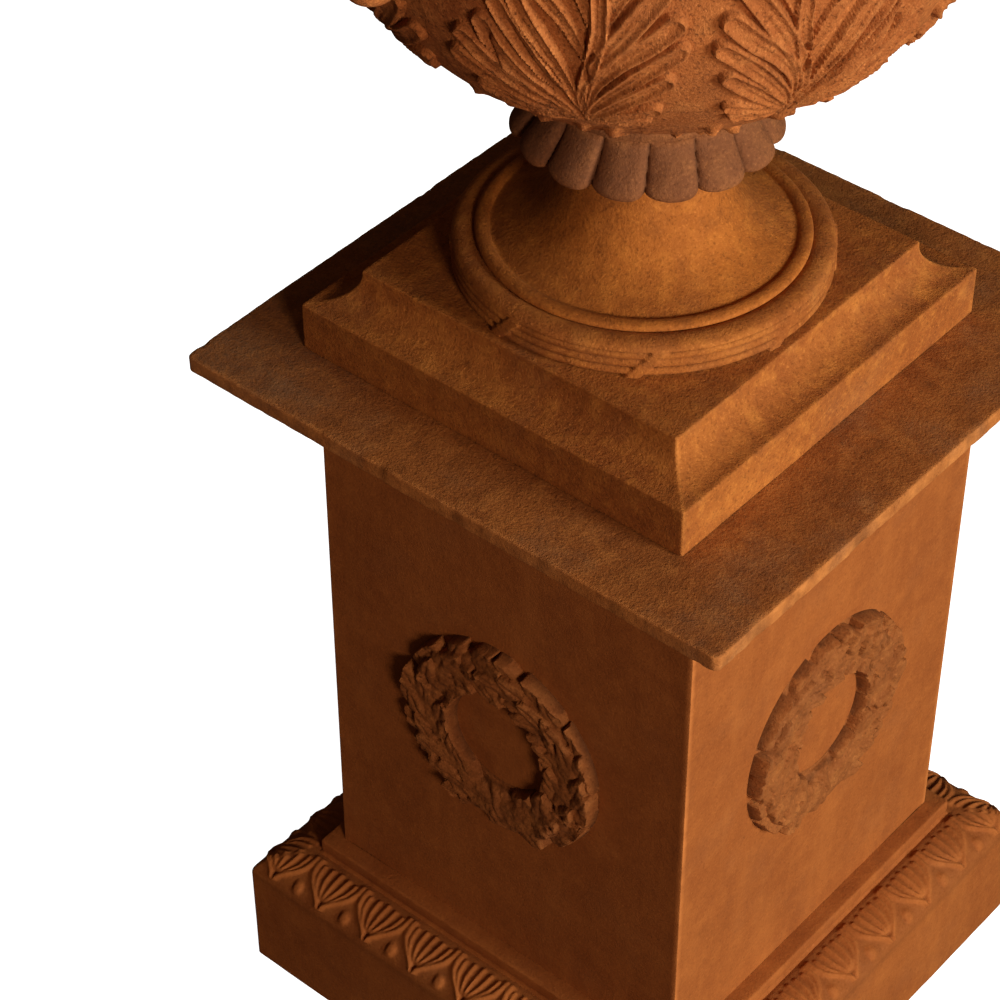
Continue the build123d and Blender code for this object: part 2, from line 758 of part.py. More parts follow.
for number in range(leaf_count):
    turn = leaf_start + number * 360 / leaf_count
    with BuildPart() as leaf:
        with BuildSketch(side_plane(turn, 0, 0, (shift_x, shift_y))):
            with BuildLine():
                Spline(*leaf_side)
                Line(leaf_side[-1], (0, leaf_side[-1][1]))
                Line((0, leaf_side[-1][1]), (0, leaf_side[0][1]))
                Line((0, leaf_side[0][1]), leaf_side[0])
            make_face()
            mirror(about=Plane.YZ)
        extrude(amount=belly_radius + 2 * leaf_relief)
        add(leaf_band, mode=Mode.INTERSECT)
    keep(leaf.part, f"body_leaf_{number + 1}")

# ---- tie rod through the foot, the socle, the collar and the bowl's floor ----
under_plate = platform - foot_wall
rod_ends = [(under_plate, -1), (bowl_floor, 1)]
with BuildPart() as tie_rod:
    stack = rod_washer_thick + rod_nut_height + rod_spare
    with BuildSketch(level_plane(under_plate - stack)):
        Circle(tie_rod_radius)
    extrude(amount=bowl_floor - under_plate + 2 * stack)
keep(tie_rod.part, "tie_rod")

with BuildPart() as rod_washers:
    for level, s in rod_ends:
        with BuildSketch(level_plane(level)):
            Circle(rod_washer_radius)
            Circle(rod_hole, mode=Mode.SUBTRACT)
        extrude(amount=s * rod_washer_thick)
keep(rod_washers.part, "tie_rod_washers")

with BuildPart() as rod_nuts:
    for level, s in rod_ends:
        with BuildSketch(level_plane(level + s * rod_washer_thick)):
            RegularPolygon(rod_nut_width / 2, 6, major_radius=False)
            Circle(rod_hole, mode=Mode.SUBTRACT)
        extrude(amount=s * rod_nut_height)
keep(rod_nuts.part, "tie_rod_nuts")
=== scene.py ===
import bpy
import numpy as np
from mathutils import Matrix, Vector


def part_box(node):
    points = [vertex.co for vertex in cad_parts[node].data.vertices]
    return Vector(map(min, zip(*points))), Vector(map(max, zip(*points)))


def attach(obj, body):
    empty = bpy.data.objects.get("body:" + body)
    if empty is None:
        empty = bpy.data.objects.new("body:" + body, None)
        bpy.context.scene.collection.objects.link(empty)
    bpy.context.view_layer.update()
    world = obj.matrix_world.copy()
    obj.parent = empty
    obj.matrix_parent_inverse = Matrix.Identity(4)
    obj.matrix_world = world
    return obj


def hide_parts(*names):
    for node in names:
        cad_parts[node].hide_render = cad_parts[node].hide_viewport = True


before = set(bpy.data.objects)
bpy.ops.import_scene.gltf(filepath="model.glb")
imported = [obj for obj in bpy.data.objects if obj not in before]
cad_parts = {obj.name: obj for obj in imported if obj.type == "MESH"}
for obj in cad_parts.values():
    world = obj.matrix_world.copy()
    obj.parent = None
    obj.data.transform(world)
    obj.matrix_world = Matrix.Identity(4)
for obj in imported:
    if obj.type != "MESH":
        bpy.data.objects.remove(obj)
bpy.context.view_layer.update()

mm = 0.001
step = 1.0
rodHole = 8.2 * mm  # radius of the hole for the tie rod


def say(words):
    print("[amphora]", words)


# places taken from the frame
slabLow, slabHigh = (np.array(c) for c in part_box("cap_slab"))
footLow, footHigh = (np.array(c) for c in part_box("foot_plinth"))
collarLow, collarHigh = (np.array(c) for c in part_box("gadroon_collar"))
baseLow, baseHigh = (np.array(c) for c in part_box("base_block"))
urnX = float(footLow[0] + footHigh[0]) / 2
urnY = float(footLow[1] + footHigh[1]) / 2
slabTop = float(slabHigh[2])
footBase = float(footLow[2])
platform = float(footHigh[2])


def ramp(x, a, b):
    # 0 below a, 1 above b, smooth in between
    t = np.clip((x - a) / (b - a), 0, 1)
    return t * t * (3 - 2 * t)


def lattice(ix, iy, iz, seed):
    # a repeatable number from 0 to 1 for each whole-number corner
    h = ix * 374761393 + iy * 668265263 + iz * 2147483647 + seed * 1274126177
    h = (h ^ (h >> 13)) * 1274126177
    return ((h ^ (h >> 16)) & 0xFFFFFF) / float(0xFFFFFF)


def grain(x, y, z, size, seed=0):
    # value noise from -1 to 1: the eight corners round a point, blended with a smooth step
    px, py, pz = (np.asarray(c, float) / size for c in (x, y, z))
    ix, iy, iz = (np.floor(c).astype(np.int64) for c in (px, py, pz))
    fx, fy, fz = px - ix, py - iy, pz - iz
    fx, fy, fz = (f * f * (3 - 2 * f) for f in (fx, fy, fz))
    total = 0
    for dx, wx in ((0, 1 - fx), (1, fx)):
        for dy, wy in ((0, 1 - fy), (1, fy)):
            for dz, wz in ((0, 1 - fz), (1, fz)):
                total = total + wx * wy * wz * lattice(ix + dx, iy + dy, iz + dz, seed)
    return total * 2 - 1


def rough(x, y, z, size, seed=0, layers=3):
    # layers of grain, each half as large and half as strong
    total, weight = 0, 0
    for k in range(layers):
        total = total + grain(x, y, z, size / 2**k, seed + 17 * k) / 2**k
        weight += 1 / 2**k
    return total / weight


def alongCurve(points, count):
    # even steps along a smooth (Catmull-Rom) curve through the points
    p = np.array(points, float)
    p = np.vstack([2 * p[0] - p[1], p, 2 * p[-1] - p[-2]])
    t = np.linspace(0, 1, 16, endpoint=False)[:, None]
    runs = []
    for k in range(1, len(p) - 2):
        a, b, c, d = p[k - 1], p[k], p[k + 1], p[k + 2]
        square, cube = 2 * a - 5 * b + 4 * c - d, 3 * b - a - 3 * c + d
        runs.append(0.5 * (2 * b + (c - a) * t + square * t**2 + cube * t**3))
    line = np.vstack(runs + [p[-2][None]])
    far = np.r_[0, np.cumsum(np.linalg.norm(np.diff(line, axis=0), axis=1))]
    want = np.linspace(0, far[-1], count)
    return np.stack([np.interp(want, far, line[:, k]) for k in range(line.shape[1])], 1)


def gridMesh(x, y, z, closeU=False, closeV=False, poles=(False, False), flip=False):
    # x, y, z are (rows, columns); faces look outwards when columns run anticlockwise seen from
    # above and rows run from the top down the outside; a pole fans a whole row to its middle
    rows, cols = x.shape
    verts = np.stack([x, y, z], -1).reshape(-1, 3)
    idx = np.arange(rows * cols).reshape(rows, cols)
    if closeU:
        idx = np.hstack([idx, idx[:, :1]])
    if closeV:
        idx = np.vstack([idx, idx[:1]])
    quads = np.stack([idx[:-1, :-1], idx[1:, :-1], idx[1:, 1:], idx[:-1, 1:]], -1).reshape(-1, 4)
    faces = [quads]
    for end, row in ((0, 0), (1, -1)):
        if poles[end]:
            middle = verts[idx[row]].mean(0)
            verts = np.vstack([verts, middle])
            at = np.full(idx.shape[1] - 1, len(verts) - 1)
            a, b = idx[row, :-1], idx[row, 1:]
            faces.append(np.stack([a, b, at] if end == 0 else [b, a, at], -1))
    if flip:
        faces = [f[:, ::-1] for f in faces]
    return verts, faces


def joinMeshes(parts):
    # one mesh from several: later faces count on from the points already there
    verts, faces, start = [], [], 0
    for v, f in parts:
        verts.append(v)
        faces += [q + start for q in f]
        start += len(v)
    return np.vstack(verts), faces


def buildPiece(name, mesh, material, body, replaces=(), smooth=True, marks=None, angle=None):
    # writes whole arrays into a mesh, gives it its marks, finish, body and slot
    verts, faces = mesh
    me = bpy.data.meshes.new(name)
    corners = np.concatenate([f.reshape(-1) for f in faces])
    counts = np.concatenate([np.full(len(f), f.shape[1]) for f in faces])
    me.vertices.add(len(verts))
    me.vertices.foreach_set("co", verts.astype(np.float32).reshape(-1))
    me.loops.add(len(corners))
    me.loops.foreach_set("vertex_index", corners.astype(np.int32))
    me.polygons.add(len(counts))
    me.polygons.foreach_set("loop_start", (np.cumsum(counts) - counts).astype(np.int32))
    me.polygons.foreach_set("use_smooth", np.full(len(counts), smooth))
    me.update(calc_edges=True)
    me.validate()
    for label, values in (marks or {}).items():
        layer = me.attributes.new(label, "FLOAT", "POINT")
        full = np.zeros(len(verts), np.float32)
        full[: len(values)] = values
        layer.data.foreach_set("value", full)
    if angle is not None:
        me.set_sharp_from_angle(angle=np.radians(angle))
    piece = bpy.data.objects.new(name, me)
    bpy.context.scene.collection.objects.link(piece)
    me.materials.append(material)
    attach(piece, body)
    if replaces:
        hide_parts(*replaces)
    say(f"{name}: {sum(len(f) for f in faces)} faces")
    return piece


rustLook = {
    "grainSize": 1.9 * mm,  # sand-cast grain
    "fineSize": 0.8 * mm,
    "blotchSize": 70 * mm,
    "mottleSize": 14 * mm,
}


def rustFinish(name, deep, middle, bright, dust=(0.16, 0.095, 0.055), grainDepth=0.35, roughness=0.85,
               dustShare=0.25, streaks=0.0, blotch=1.0, speckle=0.55, mottled=1.0):
    # three rust colours blended by slow and fine noise, brighter on worn places, dusty in patches; darkened
    # in hollows as painted shade, and blended towards the dust colour by a mark that is dust on some pieces
    # and painted shade on others
    m = bpy.data.materials.new(name)
    m.use_nodes = True
    nt = m.node_tree
    n, link = nt.nodes, nt.links.new
    n.clear()
    out = n.new("ShaderNodeOutputMaterial")
    shader = n.new("ShaderNodeBsdfPrincipled")
    shader.inputs["Specular IOR Level"].default_value = 0.25
    link(shader.outputs[0], out.inputs[0])
    place = n.new("ShaderNodeTexCoord").outputs["Object"]

    def noise(size, detail, seed, stretch=None):
        tex = n.new("ShaderNodeTexNoise")
        tex.noise_dimensions = "4D"
        tex.inputs["W"].default_value = seed
        tex.inputs["Scale"].default_value = 1 / size
        tex.inputs["Detail"].default_value = detail
        tex.inputs["Roughness"].default_value = 0.6
        source = place
        if stretch:
            shape = n.new("ShaderNodeMapping")
            shape.inputs["Scale"].default_value = stretch
            link(place, shape.inputs[0])
            source = shape.outputs[0]
        link(source, tex.inputs["Vector"])
        return tex.outputs[0]

    def spread(value, low, high, to=(0.0, 1.0)):
        r = n.new("ShaderNodeMapRange")
        r.inputs["From Min"].default_value = low
        r.inputs["From Max"].default_value = high
        r.inputs["To Min"].default_value = to[0]
        r.inputs["To Max"].default_value = to[1]
        link(value, r.inputs[0])
        return r.outputs[0]

    def blend(share, a, b, kind="MIX"):
        mix = n.new("ShaderNodeMix")
        mix.data_type = "RGBA"
        mix.blend_type = kind
        for sock, val in ((0, share), (6, a), (7, b)):
            if isinstance(val, (int, float)):
                mix.inputs[sock].default_value = val
            elif isinstance(val, tuple):
                mix.inputs[sock].default_value = (*val, 1)
            else:
                link(val, mix.inputs[sock])
        return mix.outputs[2]

    def maths(kind, a, b):
        node = n.new("ShaderNodeMath")
        node.operation = kind
        for sock, val in ((0, a), (1, b)):
            if isinstance(val, (int, float)):
                node.inputs[sock].default_value = val
            else:
                link(val, node.inputs[sock])
        return node.outputs[0]

    def mark(label):
        node = n.new("ShaderNodeAttribute")
        node.attribute_name = label
        return node.outputs["Fac"]

    slow = noise(rustLook["blotchSize"], 4, 1.3)
    mottle = noise(rustLook["mottleSize"], 5, 4.1)
    sand = noise(rustLook["grainSize"], 4, 7.7)
    fine = noise(rustLook["fineSize"], 1, 9.2)
    colour = blend(spread(slow, 0.5 - 0.18 / blotch, 0.5 + 0.18 / blotch), deep, middle)
    colour = blend(spread(mottle, 0.48, 0.72, (0, 0.7 * mottled)), colour, bright)
    colour = blend(spread(mottle, 0.44, 0.30, (0, 0.45 * mottled)), colour, tuple(0.55 * c for c in deep))
    colour = blend(spread(sand, 0.54, 0.68, (0, speckle)), colour, tuple(0.35 * c for c in deep))
    colour = blend(spread(sand, 0.44, 0.30, (0, 0.8 * speckle)), colour,
                   tuple(min(1, 1.3 * c) for c in bright))
    if dustShare:
        patches = noise(0.6 * rustLook["blotchSize"], 3, 12.5)
        share = maths("MULTIPLY", spread(patches, 0.5, 0.72), dustShare)
        share = maths("MULTIPLY", share, spread(fine, 0.35, 0.6, (0.4, 1)))
        colour = blend(share, colour, dust)
    if streaks:
        runs = noise(26 * mm, 3, 21.0, (1, 1, 0.14))
        colour = blend(maths("MULTIPLY", spread(runs, 0.5, 0.7), streaks), colour, bright)
    # painted shade: hollowShade darkens recesses towards a dark rust; dustAndShade lays on the dust colour,
    # as dust and as painted shade
    worn, hollowShade, dustAndShade = (mark(label) for label in ("worn", "hollowShade", "dustAndShade"))
    dustAndShadeAmount = maths("MULTIPLY", dustAndShade, spread(sand, 0.35, 0.6, (0.45, 1)))
    colour = blend(dustAndShadeAmount, colour, dust)
    colour = blend(maths("MULTIPLY", worn, spread(mottle, 0.35, 0.6, (0.5, 1))), colour,
                   tuple(min(1, 1.25 * c + 0.01) for c in bright))
    colour = blend(hollowShade, colour, tuple(0.3 * c for c in deep))
    link(colour, shader.inputs["Base Color"])
    link(spread(sand, 0.3, 0.7, (roughness - 0.12, min(1, roughness + 0.1))), shader.inputs["Roughness"])
    bumpSand = n.new("ShaderNodeBump")
    bumpSand.inputs["Strength"].default_value = 1.0
    bumpSand.inputs["Distance"].default_value = 2.2 * grainDepth * mm
    height = maths("ADD", sand, maths("MULTIPLY", fine, 0.35))
    height = maths("ADD", height, maths("MULTIPLY", mottle, 1.2))
    link(height, bumpSand.inputs["Height"])
    link(bumpSand.outputs[0], shader.inputs["Normal"])
    return m


pedestalRust = rustFinish("pedestalRust", (0.27, 0.074, 0.014), (0.34, 0.101, 0.02), (0.47, 0.156, 0.033),
                          grainDepth=0.22, dustShare=0.1, streaks=0.3, speckle=0.3, mottled=0.45)
slabRust = rustFinish("slabRust", (0.27, 0.082, 0.017), (0.37, 0.121, 0.025), (0.5, 0.187, 0.043),
                      grainDepth=0.34, dust=(0.19, 0.15, 0.10), dustShare=0.3)
footRust = rustFinish("footRust", (0.3, 0.086, 0.015), (0.4, 0.129, 0.022), (0.55, 0.203, 0.037),
                      grainDepth=0.4, dustShare=0.2)
socleRust = rustFinish("socleRust", (0.3, 0.086, 0.013), (0.42, 0.129, 0.018), (0.56, 0.195, 0.03),
                       grainDepth=0.35, dustShare=0.12)
# its dust colour is also the painted shade on the collar's lobes
collarRust = rustFinish("collarRust", (0.19, 0.063, 0.021), (0.25, 0.09, 0.03), (0.36, 0.14, 0.044),
                        grainDepth=0.4, dust=(0.165, 0.064, 0.028), dustShare=0.3, speckle=0.6)
bodyRust = rustFinish("bodyRust", (0.33, 0.094, 0.022), (0.43, 0.133, 0.031), (0.56, 0.203, 0.055),
                      grainDepth=0.62, dustShare=0.15, speckle=0.85)
wreathRust = rustFinish("wreathRust", (0.22, 0.066, 0.014), (0.29, 0.092, 0.021), (0.40, 0.145, 0.036),
                        grainDepth=0.4, dust=(0.20, 0.085, 0.035), dustShare=0.3, speckle=0.5)
oxideSteel = rustFinish("oxideSteel", (0.10, 0.05, 0.03), (0.17, 0.085, 0.045), (0.26, 0.13, 0.06),
                        grainDepth=0.15, roughness=0.6)
say("finishes made")


def squareRing(half, corner, perSide, perCorner):
    # one turn round a rounded square of the given half width, as columns; half and corner are per row
    half, corner = np.asarray(half, float)[:, None], np.asarray(corner, float)[:, None]
    t = np.linspace(-1, 1, perSide, endpoint=False)[None, :]
    a = np.linspace(0, np.pi / 2, perCorner, endpoint=False)[None, :]
    flat = half - corner
    sx = np.hstack([half + 0 * t, flat + corner * np.cos(a)])
    sy = np.hstack([flat * t, flat + corner * np.sin(a)])
    along = np.hstack([flat * t, flat + 0 * a])
    x, y, run = [], [], []
    for k in range(4):
        c, s = (1, 0, -1, 0)[k], (0, 1, 0, -1)[k]
        x.append(c * sx - s * sy)
        y.append(s * sx + c * sy)
        run.append(along)
    return np.hstack(x), np.hstack(y), np.hstack(run)


def profileRows(points, gap):
    # an outline of (half width, height) points, cut into rows no more than the gap apart
    p = np.array(points, float)
    rows = [p[:1]]
    for a, b in zip(p[:-1], p[1:]):
        k = max(1, int(np.ceil(np.linalg.norm(b - a) / gap)))
        rows.append(a + (b - a) * (np.arange(1, k + 1) / k)[:, None])
    return np.vstack(rows)


def surfaceNormals(x, y, z, closeU=True):
    # unit normals of a grid from the cross product of its two directions
    p = np.stack([x, y, z], -1)
    if closeU:
        du = np.roll(p, -1, 1) - np.roll(p, 1, 1)
    else:
        du = np.gradient(p, axis=1)
    dv = np.gradient(p, axis=0)
    nrm = np.cross(du, dv)
    return nrm / np.maximum(np.linalg.norm(nrm, axis=2, keepdims=True), 1e-12)


slab = {
    "edgeRound": 1.6 * mm,
    "cornerRound": 6.0 * mm,
    "chipDepth": 1.3 * mm,  # broken bits along the edges
    "waveDepth": 0.5 * mm,  # slow unevenness of the plate
    "pitDepth": 0.35 * mm,
}


def makeSlab():
    # a rounded plate's outline carried round a square, pushed in along its normals by noise: slow waves,
    # chips and nibbles near the edge, pits on the faces
    half = float(slabHigh[0] - slabLow[0]) / 2
    top, under = slabTop, float(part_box("side_panel_front")[1][2])
    e = slab["edgeRound"]
    arc = np.linspace(0, np.pi / 2, 5)
    upper = [(half - e + e * np.sin(a), top - e + e * np.cos(a)) for a in arc]
    lower = [(half - e + e * np.cos(a), under + e - e * np.sin(a)) for a in arc]
    outline = [(2 * mm, top)] + [(half * k, top) for k in (0.35, 0.6)] + upper + lower + [(half * 0.6, under)]
    coarse = profileRows(outline[:3], 8 * mm)
    finePart = profileRows(outline[2:], 2.2 * step * mm)
    rows = np.vstack([coarse, finePart[1:], [(2 * mm, under)]])
    corner = np.minimum(slab["cornerRound"] * np.clip(rows[:, 0] / half, 0, 1), rows[:, 0] * 0.4)
    x, y, _ = squareRing(rows[:, 0], corner, int(190 / step), 8)
    z = np.repeat(rows[:, 1][:, None], x.shape[1], 1)
    nrm = -surfaceNormals(x, y, z)
    edge = np.abs(np.repeat(rows[:, 0][:, None], x.shape[1], 1) - half)
    nearEdge = 1 - ramp(edge, 0, 5 * mm)
    wave = rough(x, y, z, 60 * mm, 3) * slab["waveDepth"] * ramp(rows[:, 0], 0.02, 0.1)[:, None]
    chips = np.clip(rough(x, y, z * 0.6, 16 * mm, 8, 4) * 1.7 - 0.25, 0, 1) * slab["chipDepth"] * nearEdge
    nibble = (rough(x, y, z, 5 * mm, 12) * 0.35 + 0.2) * mm * nearEdge
    pits = np.clip(rough(x, y, z, 4.5 * mm, 31, 2) - 0.55, 0, 1) * 2.2 * slab["pitDepth"]
    move = wave - chips - np.clip(nibble, 0, None) - pits
    move = np.minimum(move, 0)  # only ever takes metal away
    x, y, z = x + nrm[..., 0] * move, y + nrm[..., 1] * move, z + nrm[..., 2] * move
    mesh = gridMesh(x, y, z, closeU=True, poles=(True, True))
    worn = (nearEdge * (0.35 + 0.5 * rough(x, y, z, 9 * mm, 5))).clip(0, 1)
    # painted shade: chips and pits are darkened
    hollowShade = (chips / slab["chipDepth"] * 0.5 + pits / slab["pitDepth"] * 0.25).clip(0, 0.6)
    # a greyish dust tint that grows towards -X
    dustAndShade = 0.4 * ramp(-x, 60 * mm, 200 * mm) * (0.6 + 0.6 * rough(x, y, z, 40 * mm, 17))
    marks = {"worn": worn.reshape(-1), "hollowShade": hollowShade.reshape(-1), "dustAndShade": dustAndShade.clip(0, 1).reshape(-1)}
    return mesh, marks


def frameBars(halfOut, halfIn, low, high):
    # the square rib frame as one closed loop: four corners of its section carried round the square
    rows = np.array([(halfOut, high), (halfOut, low), (halfIn, low), (halfIn, high)])
    x, y, _ = squareRing(rows[:, 0], np.full(4, 0.5 * mm), 4, 2)
    z = np.repeat(rows[:, 1][:, None], x.shape[1], 1)
    return gridMesh(x, y, z, closeU=True, closeV=True)


slabMesh, slabMarks = makeSlab()
panelTop = float(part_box("side_panel_front")[1][2])
ribOut = float(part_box("side_panel_right")[0][0]) - 1.5 * mm
ribs = frameBars(ribOut, ribOut - 6 * mm, float(slabLow[2]), panelTop)
buildPiece("capSlab", joinMeshes([slabMesh, ribs]), slabRust, "pedestal", ["cap_slab"],
           marks=slabMarks, angle=60)

foot = {"edgeRound": 1.5 * mm, "cornerRound": 2.2 * mm, "waveDepth": 0.35 * mm, "nickDepth": 0.8 * mm}


def makeFoot():
    # block, cove and platform as one outline carried round a square, pushed in by slow waves and nicks
    half = float(footHigh[0] - footLow[0]) / 2
    top, low = platform, footBase
    block = low + 37.5 * mm
    inner = half - 29 * mm
    e = foot["edgeRound"]
    arc = np.linspace(0, np.pi / 2, 4)
    cove = np.linspace(0, np.pi / 2, 14)
    outline = [(2 * mm, top), (inner * 0.5, top), (inner - 4 * mm, top)]
    outline += [(inner - e + e * np.sin(a), top - e + e * np.cos(a)) for a in arc]
    drop = top - 3.5 * mm - block
    reach = half - inner - 2.5 * mm
    outline += [(inner + reach * (1 - np.cos(a)), block + drop * (1 - np.sin(a)) + 0.2 * mm) for a in cove]
    outline += [(half - e + e * np.sin(a), block - e + e * np.cos(a)) for a in arc]
    outline += [(half, low + e), (half - 0.3 * e, low + 0.3 * e), (half - e, low), (half - 9 * mm, low),
                (half - 9 * mm, low + 28 * mm), (inner - 10 * mm, low + 28 * mm),
                (inner - 10 * mm, top - 9 * mm), (2 * mm, top - 9 * mm)]
    rows = profileRows(outline, 3.0 * step * mm)
    corner = np.minimum(foot["cornerRound"], rows[:, 0] * 0.4)
    x, y, _ = squareRing(rows[:, 0], corner, int(150 / step), 5)
    z = np.repeat(rows[:, 1][:, None], x.shape[1], 1)
    nrm = -surfaceNormals(x, y, z)
    outside = (rows[:, 0] > 20 * mm)[:, None] * (np.arange(len(rows)) < 0.62 * len(rows))[:, None]
    wave = (rough(x, y, z, 45 * mm, 41) - 0.5) * foot["waveDepth"] * outside
    nicks = np.clip(rough(x, y, z, 7 * mm, 44) - 0.5, 0, 1) * foot["nickDepth"] * outside
    move = np.minimum(wave, 0) - nicks
    x, y, z = x + nrm[..., 0] * move, y + nrm[..., 1] * move, z + nrm[..., 2] * move
    z = np.maximum(z, low)
    corners = (1 - ramp(np.abs(np.abs(x) - np.abs(y)), 0, 3 * mm)) * (rows[:, 0] > inner - 1 * mm)[:, None]
    worn = corners * outside * (0.6 + 0.4 * rough(x, y, z, 8 * mm, 5))
    # painted shade: the front (-Y) vertical face of the block is darkened, and nicks are darkened too
    frontFaceShade = 0.22 * (y < 3 * mm - half) * (z < block - 1 * mm)
    hollowShade = (nicks / foot["nickDepth"]).clip(0, 0.5) + frontFaceShade
    marks = {"worn": worn.clip(0, 1).reshape(-1), "hollowShade": hollowShade.reshape(-1)}
    return gridMesh(x + urnX, y + urnY, z, closeU=True, poles=(True, True)), marks


footMesh, footMarks = makeFoot()
buildPiece("footPlinth", footMesh, footRust, "amphora", ["foot_plinth"], marks=footMarks,
           angle=40)

base = {
    "edgeRound": 2.0 * mm,
    "pitch": 48.4 * mm,  # one palmette
    "squash": 0.86,
    "relief": 2.1 * mm,
    "ribWidth": 2.0 * mm,
    "borderWidth": 3.0 * mm,
}


def palmettes(run, down):
    # height of the carving at a place: run along the side, down the rounded band from its top edge
    pitch = base["pitch"]
    down = down / base["squash"]
    u = (run / pitch - np.floor(run / pitch + 0.5)) * pitch
    levels, widths = np.array([2, 12, 20, 27, 33, 39, 45]), np.array([22, 21.5, 19.5, 14.5, 8.5, 3.0, 0.0])
    spreadOut = np.interp(down, levels * mm, widths * mm)

    def ridge(off, width):
        return np.exp(-((off / width) ** 2) * 1.1)

    height = ridge(np.abs(u) - spreadOut, base["borderWidth"]) * (down < 44 * mm)
    for k in (-2, -1, 0, 1, 2):
        tip = (5 + 1.2 * abs(k)) * mm
        rib = ridge(u - k * spreadOut * 0.37, base["ribWidth"]) * ramp(down, tip - 3 * mm, tip)
        height = np.maximum(height, 0.85 * (rib * (1 - ramp(down, 30 * mm, 38 * mm))))
    v = (run / pitch - np.floor(run / pitch) - 0.5) * pitch
    drop = np.sqrt((v / (4.3 * mm)) ** 2 + ((down - 37 * mm) / (5.6 * mm)) ** 2)
    height = np.maximum(height, 0.9 * np.exp(-(drop**4) * 0.7))
    slit = np.exp(-((u / (1.3 * mm)) ** 2)) * ramp(down, 34 * mm, 37 * mm)
    slit = slit * (1 - ramp(down, 42 * mm, 45 * mm))
    cut = np.exp(-(((v + 4.6 * mm) / (1.4 * mm)) ** 2 + ((down - 37 * mm) / (4.2 * mm)) ** 2))
    edges = ramp(down, 0.5 * mm, 3 * mm) * (1 - ramp(down, 44 * mm, 47 * mm))
    return (height - 0.75 * slit - 0.55 * cut) * edges


def makeBase():
    # block, rounded band and ledge as one outline carried round a square; the band moves outwards by
    # the carving's height times its relief
    half = float(baseHigh[0])
    block = float(baseLow[2]) + 98 * mm
    ledgeLow = block + 20 * mm
    ledgeTop = ledgeLow + 13 * mm
    ledge = 176 * mm
    hip = half - 36 * mm
    e = base["edgeRound"]
    arc = np.linspace(0, np.pi / 2, 5)
    inner = float(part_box("side_panel_right")[0][0]) - 7.5 * mm
    outline = [(inner, ledgeTop - 3 * mm), (inner, ledgeTop)]
    outline += [(ledge - e + e * np.sin(a), ledgeTop - e + e * np.cos(a)) for a in arc]
    outline += [(ledge, ledgeLow + 3 * mm), (ledge - 1.0 * mm, ledgeLow + 1.2 * mm),
                (ledge + 1.0 * mm, ledgeLow - 0.8 * mm)]
    band = np.linspace(np.pi / 2, 0, 60)
    ovolo = [(hip + 36 * mm * np.cos(a), block + 20 * mm * np.sin(a)) for a in band]
    head = profileRows(outline, 4 * step * mm)
    carved = profileRows(ovolo, 1.1 * step * mm)
    tail = profileRows([(half, block), (half, 2 * e), (half, e), (half - 0.3 * e, 0.3 * e), (half - e, 0),
                        (half - 9 * mm, 0), (half - 9 * mm, block - 9 * mm), (inner, block - 9 * mm)],
                       7 * step * mm)
    rows = np.vstack([head, carved, tail[1:]])
    far = np.r_[0, np.cumsum(np.linalg.norm(np.diff(carved, axis=0), axis=1))]
    down = np.full(len(rows), -1.0)
    down[len(head):len(head) + len(carved)] = far
    down[len(head) + len(carved):] = 1.0
    isBand = np.zeros(len(rows), bool)
    isBand[len(head):len(head) + len(carved)] = True
    corner = np.minimum(3 * mm, rows[:, 0] * 0.4)
    x, y, run = squareRing(rows[:, 0], corner, int(340 / step), 6)
    z = np.repeat(rows[:, 1][:, None], x.shape[1], 1)
    nrm = -surfaceNormals(x, y, z)
    carving = palmettes(run, np.repeat(down[:, None], x.shape[1], 1)) * isBand[:, None]
    jitter = 1 + 0.22 * rough(x, y, z, 12 * mm, 60)
    outside = (np.arange(len(rows)) < len(head) + len(carved) + 0.45 * len(tail))[:, None]
    wave = (rough(x, y, z, 40 * mm, 61) - 0.5) * 0.5 * mm * outside
    move = carving * base["relief"] * jitter + np.minimum(wave, 0)
    x, y, z = x + nrm[..., 0] * move, y + nrm[..., 1] * move, z + nrm[..., 2] * move
    # painted shade: the low parts of the carved band, between and inside the palmettes, are darkened
    hollowShade = (isBand[:, None] * (0.25 - carving)).clip(0, 0.3)
    marks = {"worn": (carving * 0.1).clip(0, 1).reshape(-1), "hollowShade": hollowShade.reshape(-1)}
    return gridMesh(x, y, z, closeU=True, closeV=True), marks


baseMesh, baseMarks = makeBase()
baseRibs = frameBars(ribOut, ribOut - 6 * mm, 131 * mm - 2 * mm, float(baseHigh[2]))
buildPiece("baseBlock", joinMeshes([baseMesh, baseRibs]), pedestalRust, "pedestal",
           ["base_block"], marks=baseMarks, angle=50)
say("square castings done")

panel = {"arris": 0.9 * mm, "unevenness": 0.7 * mm}
sides = (("right", 0), ("back", 90), ("left", 180), ("front", 270))  # degrees from +X that each side faces


def turned(out, along, turn):
    # a point given as distance outwards and distance along the side, for the side facing that way
    c, s = np.cos(np.radians(turn)), np.sin(np.radians(turn))
    return c * out - s * along, s * out + c * along


